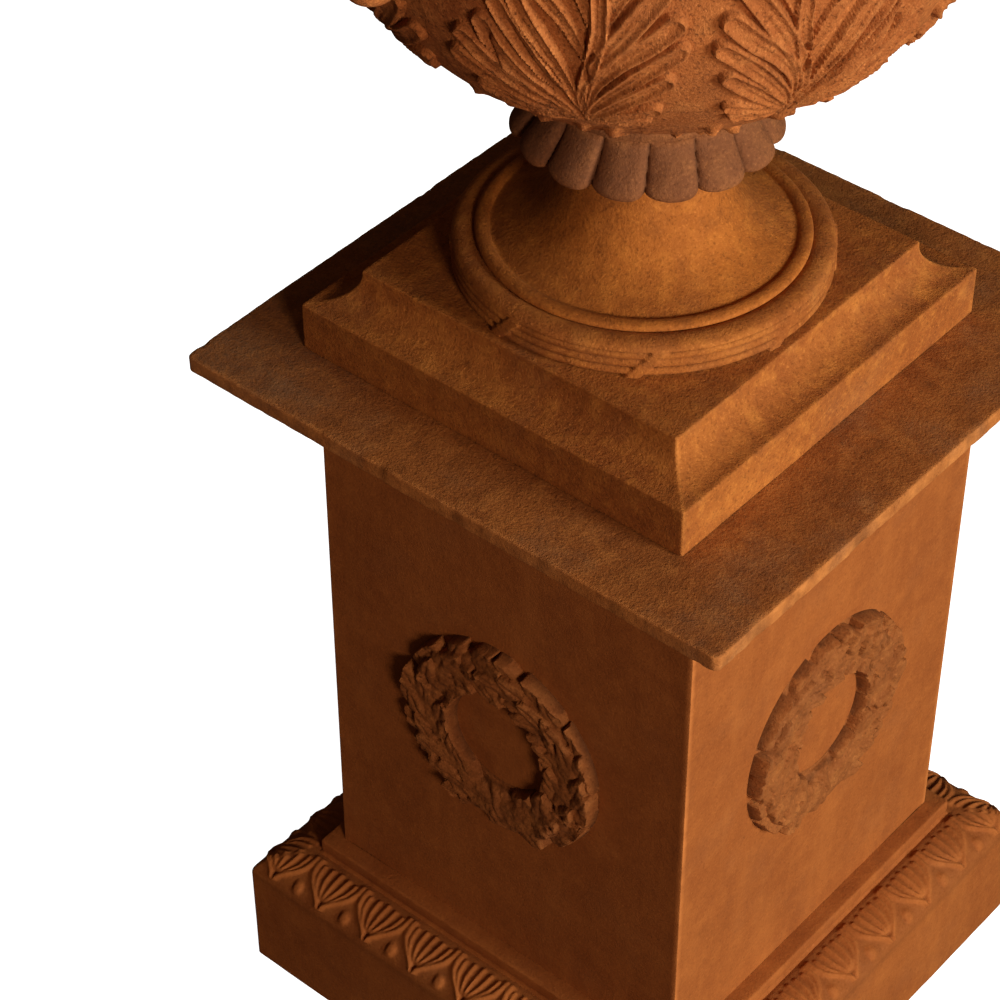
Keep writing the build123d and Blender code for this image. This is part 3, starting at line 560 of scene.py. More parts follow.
def makePanel(turn):
    # a plate's section as columns and its height as rows; noise pushes the face in between its arrises
    low, high = baseHigh[2] - 20 * mm, float(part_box("side_panel_front")[1][2])
    half = float(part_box("side_panel_right")[1][0])
    inner = half - 8 * mm
    a = panel["arris"]
    face = np.linspace(-(half - a), half - a, int(82 / step))
    back = np.linspace(inner, -inner, 12)
    out = np.r_[half - 0.3 * a, np.full(len(face), half), half - 0.3 * a, np.full(len(back), inner)]
    along = np.r_[-(half - 0.3 * a), face, half - 0.3 * a, back]
    heights = np.linspace(high, low, int(120 / step))
    out, along = (np.repeat(v[None], len(heights), 0) for v in (out, along))
    z = np.repeat(heights[:, None], out.shape[1], 1)
    front = (out > half - 0.1 * mm) * (1 - ramp(np.abs(along), half - 12 * mm, half - a))
    wave = (rough(along, out + turn, z, 120 * mm, 70 + turn) - 0.8) * panel["unevenness"] * front
    dents = -np.clip(rough(along, out + turn, z, 24 * mm, 90 + turn, 2) - 0.55, 0, 1) * 0.6 * mm * front
    x, y = turned(out + np.minimum(wave, 0) + dents, along, turn)
    edge = ramp(np.abs(along), half - 4 * mm, half - 1 * mm) * (out > inner + 1 * mm)
    worn = edge * (0.55 + 0.6 * rough(along, out, z, 22 * mm, 77)).clip(0, 1)
    return gridMesh(x, y, z, closeU=True, poles=(True, True)), {"worn": worn.reshape(-1)}


for side, turn in sides:
    panelMesh, panelMarks = makePanel(turn)
    buildPiece(f"{side}Panel", panelMesh, pedestalRust, "pedestal", [f"side_panel_{side}"],
               marks=panelMarks, angle=35)

wreath = {
    "ringRadius": 66 * mm,
    "inner": 42 * mm,
    "outer": 88.8 * mm,
    "clusters": 10,  # leaf clusters on each branch
    "leafLength": 37 * mm,
    "leafWidth": 20 * mm,
    "depth": 14.8 * mm,
    "gapAtTop": 4,  # degrees left free where the branches meet
    "gapAtBottom": 14,
    # side of the ring, lean, and the levels of root and tip in mm, for the three leaves of a cluster
    "lanes": ((1, 0.72, 4.5, 11.5), (-1, 0.74, 4.5, 11.5), (0.1, 0.12, 6.5, 13.0)),
}


def makeWreath(turn, seed):
    # a height over the panel on a grid of angle and radius: the highest of all the leaves there, each
    # rising from its root to its tip, with a rounded back and a groove for its midrib
    pick = np.random.default_rng(seed)
    half = float(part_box("side_panel_right")[1][0])
    wreathLow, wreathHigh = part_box("wreath_front")
    level = float(wreathLow[2] + wreathHigh[2]) / 2 - 5 * mm
    a = np.linspace(-np.pi / 2, 1.5 * np.pi, int(460 / step), endpoint=False)[None, :]
    r = np.linspace(wreath["inner"], wreath["outer"], int(64 / step))[:, None]
    u, w = r * np.cos(a), r * np.sin(a)
    far = r + 0 * a
    height = np.zeros(far.shape)
    centre = wreath["ringRadius"]

    def lens(at, reach, heading, length, width, low, high, bulge):
        rootX, rootY = reach * np.cos(at), reach * np.sin(at)
        along = ((u - rootX) * np.cos(heading) + (w - rootY) * np.sin(heading)) / length
        across = (-(u - rootX) * np.sin(heading) + (w - rootY) * np.cos(heading)) / (0.5 * width)
        across = across - 0.35 * (along - 0.5) * np.sign(heading - at)
        span = np.sin(np.pi * np.clip(along, 0, 1) ** 0.8) ** 0.65
        inside = (along > 0) * (along < 1)
        q = np.abs(across) / np.maximum(span, 0.02)
        top = low + (high - low) * along + bulge * (np.clip(1 - q**2, 0, 1) ** 0.5 - 0.6)
        top = top - 1.1 * mm * np.exp(-((across / 0.16) ** 2))
        return np.where(inside & (q < 1), top, 0)

    # a thick steep-sided core under the leaves
    wide = 14.5 * mm + 3.0 * mm * rough(u, w, 0 * u + seed, 17 * mm, seed)
    core = np.clip(1 - (np.abs(far - centre) / wide) ** 6, 0, 1)
    height = np.maximum(height, 9.5 * mm * core**0.5 * (0.86 + 0.14 * np.cos((far - centre) / (13 * mm))))
    for branch in (-1, 1):
        span = 180 - wreath["gapAtTop"] - wreath["gapAtBottom"]
        for k in range(wreath["clusters"]):
            at = np.radians(-90 + branch * (wreath["gapAtBottom"] + span * (k + 0.2) / wreath["clusters"]))
            flow = at + branch * np.pi / 2
            size = 1 - 0.12 * k / wreath["clusters"] + 0.05 * pick.normal()
            for lane, lean, low, high in wreath["lanes"]:
                low, high = (v * mm + 0.9 * mm * pick.normal() for v in (low, high))
                reach = centre + lane * 4 * mm + 1.3 * mm * pick.normal()
                heading = flow - branch * lane * lean + 0.12 * pick.normal()
                long = wreath["leafLength"] * size * (1 + 0.07 * pick.normal())
                wide = wreath["leafWidth"] * size * (1 + 0.08 * pick.normal())
                leaf = lens(at + 0.05 * pick.normal(), reach, heading, long, wide, low, high, 3.6 * mm)
                height = np.maximum(height, leaf)
        # cut stem and ribbon end standing out below
        for at, reach, heading, long, wide, top in ((-74, 62, -42, 44, 17, 9), (-82, 70, -20, 30, 13, 7)):
            rootAt = np.radians(-90 + branch * (90 + at))
            head = np.radians(-90 + branch * (90 + heading))
            stalk = lens(rootAt, reach * mm, head, long * mm, wide * mm, top * mm, 0.6 * top * mm, 3 * mm)
            height = np.maximum(height, stalk)
    # ribbon wound round the crossing, and pits left by the sand
    band = np.clip(1 - ((far - centre - 1 * mm) / (22 * mm)) ** 2, 0, 1) ** 0.5
    ribbon = np.exp(-((u / (13 * mm)) ** 2)) * (w < 0) * band
    folds = 0.8 + 0.2 * np.abs(np.sin((u + 0.5 * (w + centre)) / (3.2 * mm)))
    height = np.maximum(height, 11.5 * mm * ribbon * folds)
    solid = ramp(height, 0.5 * mm, 3 * mm)
    fineLumps, slowLumps = rough(u, w, 0 * u, 7 * mm, seed + 3), rough(u, w, 0 * u, 17 * mm, seed + 5)
    height = height + solid * (fineLumps * 1.5 * mm + slowLumps * 1.3 * mm)
    inner, outer = wreath["inner"], wreath["outer"]
    edge = ramp(far, inner, inner + 2 * mm) * (1 - ramp(far, outer - 2 * mm, outer))
    slits = rough(u, w, 0 * u, 9 * mm, seed + 8, 2)
    height = height - solid * ramp(slits, 0.45, 0.75) * 4.5 * mm
    height = np.clip(height * edge, 0, wreath["depth"]) - 0.6 * mm
    # painted shade: the wreath is darkened where it sinks low between and round the leaves
    hollowShade = ramp(-(height - 5 * mm) / mm, 0, 4.5) * solid * 0.7
    back = np.array([outer - 1 * mm, inner + 1 * mm])[:, None]
    u = np.vstack([u, back * np.cos(a)])
    w = np.vstack([w, back * np.sin(a)])
    height = np.vstack([height, 0 * back * a - 1.6 * mm])
    hollowShade = np.vstack([hollowShade, 0 * back * a])
    x, y = turned(half + height, u, turn)
    return gridMesh(x, y, level + w, closeU=True, closeV=True, flip=True), {"hollowShade": hollowShade.reshape(-1)}


for side, turn in sides:
    wreathMesh, wreathMarks = makeWreath(turn, 11)
    buildPiece(f"{side}Wreath", wreathMesh, wreathRust, "pedestal", [f"wreath_{side}"],
               marks=wreathMarks, angle=55)
say("pedestal done")


def spun(rows, cols, bend=None):
    # an outline of (radius, height) rows carried round the amphora's axis; bend adds to radius and
    # height as functions of the angle and the row
    angle = np.linspace(0, 2 * np.pi, cols, endpoint=False)[None, :]
    r = np.repeat(rows[:, 0][:, None], cols, 1)
    z = np.repeat(rows[:, 1][:, None], cols, 1)
    if bend is not None:
        dr, dz = bend(np.repeat(angle, len(rows), 0), r, z)
        r, z = r + dr, z + dz
    return urnX + r * np.cos(angle), urnY + r * np.sin(angle), z, np.repeat(angle, len(rows), 0)


reeds = {
    "count": 3,
    "pitch": 6.1 * mm,
    "swell": 2.7 * mm,
    "straps": 8,
    "firstStrap": -97,
    "strapWidth": 11 * mm,
    "strapSlant": 0.9,
}


def makeReedRing():
    # roll and reeds as one outline turned about the axis; each reed is half a circle in height, and a
    # slanting strap replaces the reeds where its distance along the ring is under half its width
    inner = 101 * mm
    top = np.linspace(0, 1, 16)
    roll = [(117.5 * mm + 9.6 * mm * np.sin(a), platform + 20 * mm + 5 * mm * np.cos(a))
            for a in -0.75 + top * (0.75 + np.pi / 2)]
    footLevel = platform + 0.2 * mm
    belowRoll = roll[-1][1] - 0.6 * mm
    outer = [(124.8 * mm, h) for h in np.linspace(belowRoll, footLevel, int(34 / step))]
    rows = np.array([(inner, platform), (inner, platform + 20 * mm), (109 * mm, platform + 22.8 * mm)]
                    + roll + outer + [(118 * mm, platform)])

    def bend(angle, r, z):
        level = z - platform
        onSide = (r > 124.5 * mm) * (level < belowRoll - platform + 0.1 * mm) * (level > 0)
        first = belowRoll - platform
        k = (first - level) / reeds["pitch"]
        off = (k - np.floor(k) - 0.5) * 2
        reed = reeds["swell"] * np.sqrt(np.clip(1 - off**2, 0, 1)) * (k < reeds["count"])
        swing = angle - np.radians(reeds["firstStrap"])
        pitch = 2 * np.pi / reeds["straps"]
        near = (swing / pitch - np.floor(swing / pitch + 0.5)) * pitch * 127 * mm
        lean = near - reeds["strapSlant"] * (level - 7 * mm)
        ragged = rough(angle * 0.127, z, r, 5 * mm, 5) * 1.6 * mm
        half = reeds["strapWidth"] / 2
        strap = 1 - ramp(np.abs(lean) + ragged, half - 0.8 * mm, half + 0.6 * mm)
        plain = reeds["swell"] + 1.0 * mm
        dr = (reed * (1 - strap) + plain * strap) * onSide
        x, y = r * np.cos(angle), r * np.sin(angle)
        rim = r > 103 * mm
        flaw = np.clip(rough(x, y, z, 9 * mm, 14) - 0.42, 0, 1) * 2.2 * mm
        loose = 0.25 * mm * rough(x, y, z, 22 * mm, 15) - 0.25 * mm
        return dr - (flaw * onSide - loose) * rim, 0 * z

    x, y, z, angle = spun(rows, int(640 / step), bend)
    r = np.hypot(x - urnX, y - urnY)
    # painted shade: the side is darkened where it sinks below 125 mm radius, in the grooves between the reeds
    # and under the roll
    side = (z < platform + 19.5 * mm) * (r > 122 * mm)
    hollowShade = side * (1 - ramp(r, 125 * mm, 126.4 * mm)) * 0.6
    return gridMesh(x, y, z, closeU=True, closeV=True), {"hollowShade": hollowShade.reshape(-1)}


ringMesh, ringMarks = makeReedRing()
buildPiece("reedRing", ringMesh, footRust, "amphora", ["reed_ring", "reed_straps"],
           marks=ringMarks, angle=70)

stem = {"beadSwell": 1.3 * mm, "unevenness": 0.35 * mm}


def makeSocle():
    # flare and bead as one outline turned about the axis, with slow waves and nicks
    dishLow = platform + 24 * mm
    top = platform + 112 * mm
    flare = alongCurve([(101.4, 3.4), (99, 3.9), (94, 5.8), (84, 9.8), (73, 16.5), (63.5, 26.5), (56, 40),
                        (50.5, 57), (47, 74), (46, 88)], int(70 / step))[::-1]
    outer = [(46 * mm, top)] + [(r * mm, dishLow + h * mm) for r, h in flare]
    bead = [(106.3 * mm + 5.6 * mm * np.sin(a), dishLow + 1.9 * mm + 3.1 * mm * np.cos(a))
            for a in np.linspace(-0.95, 2.1, 14)]
    inside = [(110.6 * mm, dishLow), (100.6 * mm, dishLow), (100.6 * mm, platform), (91.6 * mm, platform),
              (91.6 * mm, dishLow - 8 * mm), (37 * mm, dishLow + 34 * mm), (37 * mm, top - 9 * mm),
              (rodHole, top - 9 * mm), (rodHole, top)]
    rows = np.array(outer + bead + inside)

    def bend(angle, r, z):
        x, y = r * np.cos(angle), r * np.sin(angle)
        shown = (z > dishLow + 1 * mm) * (r > 45 * mm)
        wave = rough(x, y, z, 38 * mm, 23) * stem["unevenness"] - 0.2 * mm
        nick = -np.clip(rough(x, y, z, 6 * mm, 27) - 0.62, 0, 1) * 2 * mm * (r > 106 * mm)
        return (wave + nick) * shown, 0 * z

    x, y, z, angle = spun(rows, int(420 / step), bend)
    return gridMesh(x, y, z, closeU=True, closeV=True), {}


socleMesh, _ = makeSocle()
buildPiece("socleStem", socleMesh, socleRust, "amphora", ["socle"], angle=60)

gadroon = {
    "lobes": 15,
    "firstGroove": -99,  # degrees
    "lobeSwell": 5.4 * mm,
    "scallop": 6.5 * mm,
    "lean": 0.10,  # the grooves lean a little as they go down
}


def makeCollar():
    # an outline turned about the axis; each lobe is a rounded bump across its share of the turn, and the
    # lower edge dips between lobes
    low, top = float(collarLow[2]), float(collarHigh[2])
    edge = top - 11 * mm
    shape = [(69.5, 0), (70.5, 4), (74, 11), (79, 19), (83.2, 26), (84.2, 30.5), (82.5, 33.6), (77.5, 34.9)]
    outline = alongCurve([(r, edge / mm - below) for r, below in shape], int(50 / step)) * mm
    above = [(rodHole, top), (40 * mm, top), (68.5 * mm, top), (69.8 * mm, top - 1.2 * mm),
             (70 * mm, edge + 1.5 * mm), (69.2 * mm, edge + 0.2 * mm)]
    inside = [(66 * mm, low + 0.6 * mm), (46.4 * mm, low + 1.5 * mm), (46.4 * mm, low + 7 * mm),
              (rodHole, low + 7 * mm)]
    rows = np.array(above + list(outline) + inside)
    firstLobe, lastLobe = len(above), len(above) + len(outline)
    fall = np.zeros(len(rows))
    fall[firstLobe:lastLobe] = np.linspace(0, 1, len(outline))
    fall[lastLobe] = 1

    def bend(angle, r, z):
        down = np.repeat(fall[:, None], angle.shape[1], 1)
        pitch = 2 * np.pi / gadroon["lobes"]
        s = (angle - np.radians(gadroon["firstGroove"])) / pitch + gadroon["lean"] * down
        off = (s - np.floor(s)) * 2 - 1
        skew = off - 0.18 * (1 - off**2)  # each lobe is steeper on one side
        lobe = np.sqrt(np.clip(1 - np.abs(skew) ** 2.4, 0, 1))
        grow = np.sin(np.pi * np.clip(down * 0.62 + 0.08, 0, 1)) ** 0.8 * (down > 0)
        x, y = r * np.cos(angle), r * np.sin(angle)
        uneven = rough(x, y, z, 20 * mm, 33) * 0.8 * mm * (down > 0)
        chip = np.clip(rough(x, y, z, 7 * mm, 35) - 0.35, 0, 1) * 2.5 * mm * ramp(down, 0.75, 0.95)
        dr = (lobe - 0.45) * gadroon["lobeSwell"] * grow * 1.5 + uneven - chip
        dz = (1 - lobe) * gadroon["scallop"] * ramp(down, 0.55, 1.0) + chip
        return dr, dz

    x, y, z, angle = spun(rows, int(600 / step), bend)
    pitch = 2 * np.pi / gadroon["lobes"]
    s = (angle - np.radians(gadroon["firstGroove"])) / pitch + gadroon["lean"] * fall[:, None]
    off = np.abs((s - np.floor(s)) * 2 - 1)
    # painted shade: the grooves between the lobes are darkened
    hollowShade = ramp(off, 0.86, 1.0) * (fall[:, None] > 0) * 0.6
    # the upper lobes take the dust colour, as dust and as painted shade: most on the -X side away from the
    # key light, least towards +X
    dustAndSideShade = ramp(fall, 0.0, 0.1) * (1 - ramp(fall, 0.6, 0.9))
    dustAndSideShade = dustAndSideShade[:, None] * (0.72 - 0.28 * np.cos(angle))
    marks = {"hollowShade": hollowShade.reshape(-1), "dustAndShade": dustAndSideShade.reshape(-1)}
    return gridMesh(x, y, z, closeU=True, closeV=True), marks


collarMesh, collarMarks = makeCollar()
buildPiece("gadroonCollar", collarMesh, collarRust, "amphora", ["gadroon_collar"],
           marks=collarMarks, angle=70)
say("foot, stem and collar done")

belly = {
    "radius": 214 * mm,
    "depth": 195 * mm,
    "middle": slabTop + 407 * mm,
    "shoulderRadius": 120 * mm,
    "shoulderRise": 138 * mm,
    "wall": 8 * mm,
}
jointAngle = np.radians(34)  # up the shoulder's curve, where the two castings meet
neckAngle = np.radians(72)


def bodyPoint(t, proud=0.0):
    # radius and height on the body's outside; t runs from the bottom pole, past the widest place at a
    # quarter turn, up the shoulder
    t = np.asarray(t, float)
    up = np.clip(t - np.pi / 2, 0, None)
    r = np.where(t < np.pi / 2, (belly["radius"] + proud) * np.sin(t),
                 belly["radius"] - belly["shoulderRadius"] + (belly["shoulderRadius"] + proud) * np.cos(up))
    z = np.where(t < np.pi / 2, belly["middle"] - (belly["depth"] + proud) * np.cos(t),
                 belly["middle"] + (belly["shoulderRise"] + proud) * np.sin(up))
    return r, z


def bodyWave(angle, r, z):
    # slow unevenness of the whole body, as a distance outwards
    x, y = r * np.cos(angle), r * np.sin(angle)
    return rough(x, y, z, 55 * mm, 51) * 0.5 * mm - 0.3 * mm


def makeLowerBody():
    # two parts of an ellipse as one outline turned about the axis; a fringe of noise times a window round
    # the bottom stands out of it
    footLevel = float(collarHigh[2])
    start = np.arcsin(68 / 214)
    t = np.linspace(np.pi / 2 + jointAngle, start, int(120 / step))
    r, z = bodyPoint(t)
    outer = np.stack([r, np.maximum(z, footLevel + 0.2 * mm)], 1)
    jointR, jointZ = bodyPoint(np.pi / 2 + jointAngle)
    inT = np.linspace(start + 0.1, np.pi / 2 + jointAngle - 0.11, 24)
    ri, zi = bodyPoint(inT, -belly["wall"])
    bore = float(jointR) - 42 * mm
    floorTop = footLevel + 10 * mm
    bottom = [(66 * mm, footLevel), (rodHole, footLevel), (rodHole, floorTop), (ri[0], floorTop)]
    rows = np.vstack([[(bore, jointZ - 9 * mm), (bore, jointZ)], outer, bottom,
                      np.stack([ri, np.maximum(zi, footLevel + 10.2 * mm)], 1)])

    def bend(angle, r, z):
        outside = np.zeros(len(rows))
        outside[2:2 + len(outer)] = np.sin(np.linspace(0, np.pi, len(outer))) ** 0.2
        # a ragged fringe of small leaf ends round the bottom
        level = np.zeros(len(rows))
        level[2:2 + len(outer)] = t
        level = level[:, None]
        x, y = r * np.cos(angle), r * np.sin(angle)
        lumps = rough(x, y, z, 16 * mm, 57, 3) + 0.25 * np.sin(46 * angle + 3 * rough(x, y, z, 60 * mm, 58))
        fringe = ramp(lumps, 0.25, 0.75) * ramp(level, 0.36, 0.46) * (1 - ramp(level, 0.80, 0.90)) * 5.5 * mm
        # one thin seam runs up the casting between two leaves
        seam = 0.9 * mm * np.exp(-(((angle - np.radians(269)) * r / (1.1 * mm)) ** 2))
        return (bodyWave(angle, r, z) + fringe + seam) * outside[:, None], -0.35 * fringe

    x, y, z, angle = spun(rows, int(420 / step), bend)
    return gridMesh(x, y, z, closeU=True, closeV=True), {}


bodyMesh, _ = makeLowerBody()
buildPiece("lowerBody", bodyMesh, bodyRust, "amphora",
           [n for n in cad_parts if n.startswith("lower_body")], angle=50)

# a leaf's leaflets as (swing from the leaf's middle in degrees, t on the body) from root to tip
acanthus = {
    "middles": 22.5,  # degrees from +X to the first leaf, then every 45
    "relief": 6.2 * mm,
    "root": (2.7, 0.93),
    "leaflets": [
        # path after the root, half width in mm, height share
        ([(-2, 0.93), (-8, 0.95), (-14, 0.955)], 6.0, 0.75),
        ([(-6.9, 0.98), (-15.5, 1.03)], 7.0, 0.8),
        ([(-6.9, 1.045), (-13.6, 1.12), (-17.6, 1.18)], 8.0, 0.85),
        ([(-4.5, 1.075), (-11.4, 1.20), (-15.2, 1.29)], 8.0, 0.9),
        ([(-1.5, 1.075), (-6.9, 1.20), (-9.9, 1.30), (-11.3, 1.37)], 7.5, 0.95),
        ([(0.9, 1.09), (-2.1, 1.225), (-5.7, 1.36), (-8.4, 1.46)], 7.0, 1.0),
        ([(2.4, 1.09), (0.9, 1.225), (-2.1, 1.36), (-4.5, 1.45), (-6.9, 1.57)], 6.5, 1.0),
        ([(3.9, 1.15), (5.7, 1.26), (6.9, 1.375), (7.5, 1.45), (7.5, 1.62), (6.5, 1.8), (4, 1.97)], 6.0, 1.0),
        ([(5, 0.94), (10, 0.955), (14.5, 0.965)], 5.5, 0.75),
        ([(9.3, 1.0), (15.8, 1.05)], 6.0, 0.8),
        ([(8.7, 1.06), (13.5, 1.15), (17.3, 1.215)], 7.0, 0.85),
        ([(6.9, 1.09), (12.3, 1.225), (16.8, 1.31), (19.3, 1.35)], 7.0, 0.9),
        ([(5.1, 1.135), (9.3, 1.28), (14.7, 1.38), (18.2, 1.45)], 8.0, 0.95),
        ([(4.5, 1.165), (7.5, 1.3), (12.3, 1.45), (16.2, 1.56)], 8.0, 0.97),
        ([(5.7, 1.26), (1.5, 1.45), (-6, 1.6), (-13, 1.69)], 7.5, 0.9),
        ([(6.9, 1.375), (3, 1.6), (-3, 1.74), (-9, 1.83)], 7.0, 0.9),
        ([(7.5, 1.5), (5, 1.72), (0, 1.86), (-3.5, 1.93)], 6.5, 0.9),
        ([(7.2, 1.4), (11, 1.56), (16.5, 1.67)], 7.0, 0.9),
        ([(7.5, 1.5), (10.5, 1.68), (14.5, 1.79)], 6.5, 0.9),
        ([(7.5, 1.6), (9.5, 1.8), (11.5, 1.9)], 6.0, 0.9),
    ],
    "creases": [([(2.9, 0.86), (2.7, 0.97), (0.2, 1.10), (-3.6, 1.26), (-7.0, 1.40)], 1.5, 0.8),
                ([(5.2, 1.17), (4.9, 1.27), (6.4, 1.33)], 1.3, 0.6),
                ([(-9.4, 1.20), (-10.8, 1.30), (-10.2, 1.33)], 1.4, 0.6)],
}


def pathFields(path, swing, t, r, arc, arcAt):
    # distance from a bent path and the share of its length reached there, by projecting each place on
    # every stretch of the path and keeping the nearest
    line = alongCurve(path, 14)
    pathArc = np.interp(line[:, 1], arcAt[0], arcAt[1])
    best = np.full(swing.shape, 1e9)
    share = np.zeros(swing.shape)
    for k in range(len(line) - 1):
        ax, ay = np.radians(line[k, 0]) * r, pathArc[k]
        bx, by = np.radians(line[k + 1, 0]) * r, pathArc[k + 1]
        px, py = np.radians(swing) * r - ax, arc - ay
        u = np.clip((px * (bx - ax) + py * (by - ay)) / ((bx - ax) ** 2 + (by - ay) ** 2), 0, 1)
        d = (px - u * (bx - ax)) ** 2 + (py - u * (by - ay)) ** 2
        nearer = d < best
        best = np.where(nearer, d, best)
        share = np.where(nearer, (k + u) / (len(line) - 1), share)
    return np.sqrt(best), share


def leafRelief(swing, t, r, arc, arcAt):
    # the highest of all leaflets at each place: each is hollow in the middle and high at its rim, by its
    # distance from the leaflet's path over its half width; creases are cut in as narrow bells
    height = np.zeros(swing.shape)
    for path, wide, share in acanthus["leaflets"]:
        first = [acanthus["root"]] if path[0][1] < 1.2 else []
        off, along = pathFields(first + list(path), swing, t, r, arc, arcAt)
        half = wide * mm * (0.28 + 0.72 * np.sin(np.pi * np.clip(along * 0.62 + 0.02, 0, 1)) ** 0.9)
        q = off / half
        spoon = np.where(q < 0.72, 0.58 + 0.42 * (q / 0.72) ** 2.2, 1.0)
        rim = spoon * (1 - ramp(q, 0.78, 1.08))
        rib = 0.22 * np.exp(-((q / 0.13) ** 2)) * (1 - ramp(along, 0.6, 0.95))
        height = np.maximum(height, (rim + rib) * share * (0.62 + 0.38 * ramp(along, 0.0, 0.5)))
    for path, wide, deep in acanthus["creases"]:
        off, along = pathFields(path, swing, t, r, arc, arcAt)
        fade = np.sin(np.pi * np.clip(along, 0.02, 0.98)) ** 0.4
        height = height - deep * np.exp(-((off / (wide * mm)) ** 2)) * fade
    return height


def makeLeaf(number):
    # a patch of the body on a grid of height and swing, moved out along the normals by the relief
    middle = acanthus["middles"] + 45 * number
    flip = 1 if number % 2 == 0 else -1  # every other leaf is mirrored
    tTop, tLow = 2.02, 0.80
    rows, cols, backs = int(180 / step), int(150 / step), 8
    t = np.linspace(tTop, tLow, rows)
    arcT = np.linspace(0.6, 2.3, 400)
    ar, az = bodyPoint(arcT)
    arcLen = np.r_[0, np.cumsum(np.hypot(np.diff(ar), np.diff(az)))]
    r0, z0 = bodyPoint(t)
    ends = np.sin(np.pi * np.linspace(0.004, 0.996, rows)) ** 0.35
    reach = 21.8 * ends
    u = np.linspace(-1, 1, cols)
    swing = reach[:, None] * u[None, :]
    tt = np.repeat(t[:, None], cols, 1)
    arc = np.interp(tt, arcT, arcLen)
    rr = np.repeat(r0[:, None], cols, 1)
    height = leafRelief(swing, tt, rr, arc, (arcT, arcLen))
    side = 1 - ramp(np.abs(u)[None, :] + 0 * tt, 0.93, 1.0)
    end = ramp(np.minimum(np.arange(rows), np.arange(rows)[::-1]), 0, 6)[:, None]
    angle = np.radians(middle + flip * swing)
    px, py = rr * np.cos(angle), rr * np.sin(angle)
    pz = np.repeat(z0[:, None], cols, 1)
    uneven = 1 + 0.16 * rough(px, py, pz, 11 * mm, 80)
    proud = height * acanthus["relief"] * uneven + rough(px, py, pz, 5 * mm, 82) * 0.25 * mm * (height > 0.1)
    proud = (proud + 1.0 * mm) * side * end - 1.3 * mm
    fr, fz = bodyPoint(tt, 0)
    nr, nz = bodyPoint(tt, 1 * mm)
    nr, nz = nr - fr, nz - fz
    size = np.hypot(nr, nz)
    r = fr + nr / size * proud + bodyWave(angle, rr, pz)
    z = fz + nz / size * proud
    # the hidden back closes each section below the surface
    ub = np.linspace(1, -1, backs + 2)[1:-1]
    angleB = np.radians(middle + flip * reach[:, None] * ub[None, :])
    rb, zb = bodyPoint(np.repeat(t[:, None], backs, 1), -3.2 * mm)
    x = np.hstack([r * np.cos(angle), rb * np.cos(angleB)]) + urnX
    y = np.hstack([r * np.sin(angle), rb * np.sin(angleB)]) + urnY
    z = np.hstack([z, zb])
    # painted shade: low ground between the leaflets and the cut creases are darkened
    low = (0.30 - height).clip(0, 0.3) * (height > -0.6) * side * ramp(height, -0.05, 0.1)
    hollowShade = np.hstack([low, 0 * rb])
    creaseShade = np.hstack([(-height).clip(0, 1) * side, 0 * rb])
    worn = np.hstack([(ramp(height, 0.85, 1.05) * 0.5), 0 * rb])
    marks = {"hollowShade": (hollowShade + creaseShade).clip(0, 0.8).reshape(-1), "worn": worn.reshape(-1)}
    return gridMesh(x, y, z, closeU=True, poles=(True, True), flip=(flip < 0)), marks


for number in range(8):
    leafMesh, leafMarks = makeLeaf(number)
    buildPiece(f"acanthusLeaf{number + 1}", leafMesh, bodyRust, "amphora",
               [f"body_leaf_{number + 1}"], marks=leafMarks, angle=80)
say("leaves done")


def makeShoulder():
    # the shoulder's part of the ellipse turned about the axis, with flutes that follow a cosine of the angle
    jointR, jointZ = bodyPoint(np.pi / 2 + jointAngle)
    t = np.linspace(np.pi / 2 + neckAngle, np.pi / 2 + jointAngle, int(50 / step))
    r, z = bodyPoint(t)
    inT = np.linspace(np.pi / 2 + jointAngle + 0.13, np.pi / 2 + neckAngle - 0.1, 14)
    ri, zi = bodyPoint(inT, -belly["wall"])
    bore = float(jointR) - 42 * mm
    rows = np.vstack([np.stack([r, z], 1), [(bore, jointZ), (bore, jointZ + 9 * mm)], np.stack([ri, zi], 1),
                      [(115.1 * mm, zi[-1]), (115.1 * mm, z[0])]])

    def bend(angle, r, z):
        outside = np.zeros(len(rows))
        outside[:len(t)] = np.sin(np.linspace(0, np.pi, len(t))) ** 0.3
        flutes = np.abs(np.cos(angle * 20)) * 2.2 * mm - 1.6 * mm  # shallow flutes fan down from the neck
        row = np.arange(len(rows))
        fade = ramp(row, 2, 8) * (1 - ramp(row, 0.62 * len(t), 0.8 * len(t)))
        return (bodyWave(angle, r, z) * outside[:, None] + flutes * fade[:, None]), 0 * z

    x, y, z, angle = spun(rows, int(600 / step), bend)
    return gridMesh(x, y, z, closeU=True, closeV=True), {}


shoulderMesh, _ = makeShoulder()
buildPiece("shoulder", shoulderMesh, bodyRust, "amphora", ["shoulder"], angle=60)
say("body done")

# pieces kept from the CAD get the same finishes
for names, material in (
    (("neck", "rim"), bodyRust),
    (("handle_front", "handle_back"), bodyRust),
    (("corner_cleat_1", "corner_cleat_2", "corner_cleat_3", "corner_cleat_4"), pedestalRust),
    (("cleat_bolts", "wreath_studs", "wreath_nuts", "flange_bolts", "flange_nuts", "handle_bolts", "tie_rod",
      "tie_rod_nuts", "tie_rod_washers"), oxideSteel),
):
    for nodeName in names:
        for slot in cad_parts[nodeName].material_slots:
            slot.material = material

# floor, light and camera
studio = {
    "keyPower": 110,
    "keyColour": (1.0, 0.98, 0.86),
    "keySize": 1.3,
    "keyAt": (3.3, 0.25, 1.45),
    "keyAim": (0.0, 0.0, 0.65),
    "sidePower": 62,
    "sideSize": 0.9,
    "sideAt": (3.0, -1.85, 1.75),
    "sideColour": (1.0, 0.76, 0.60),
    "fillColour": (1.0, 0.62, 0.40),
    "fillStrength": 0.05,
    "floorSize": 8.0,
    "floorTone": 0.9,
    "floorGlow": 1.15,
}

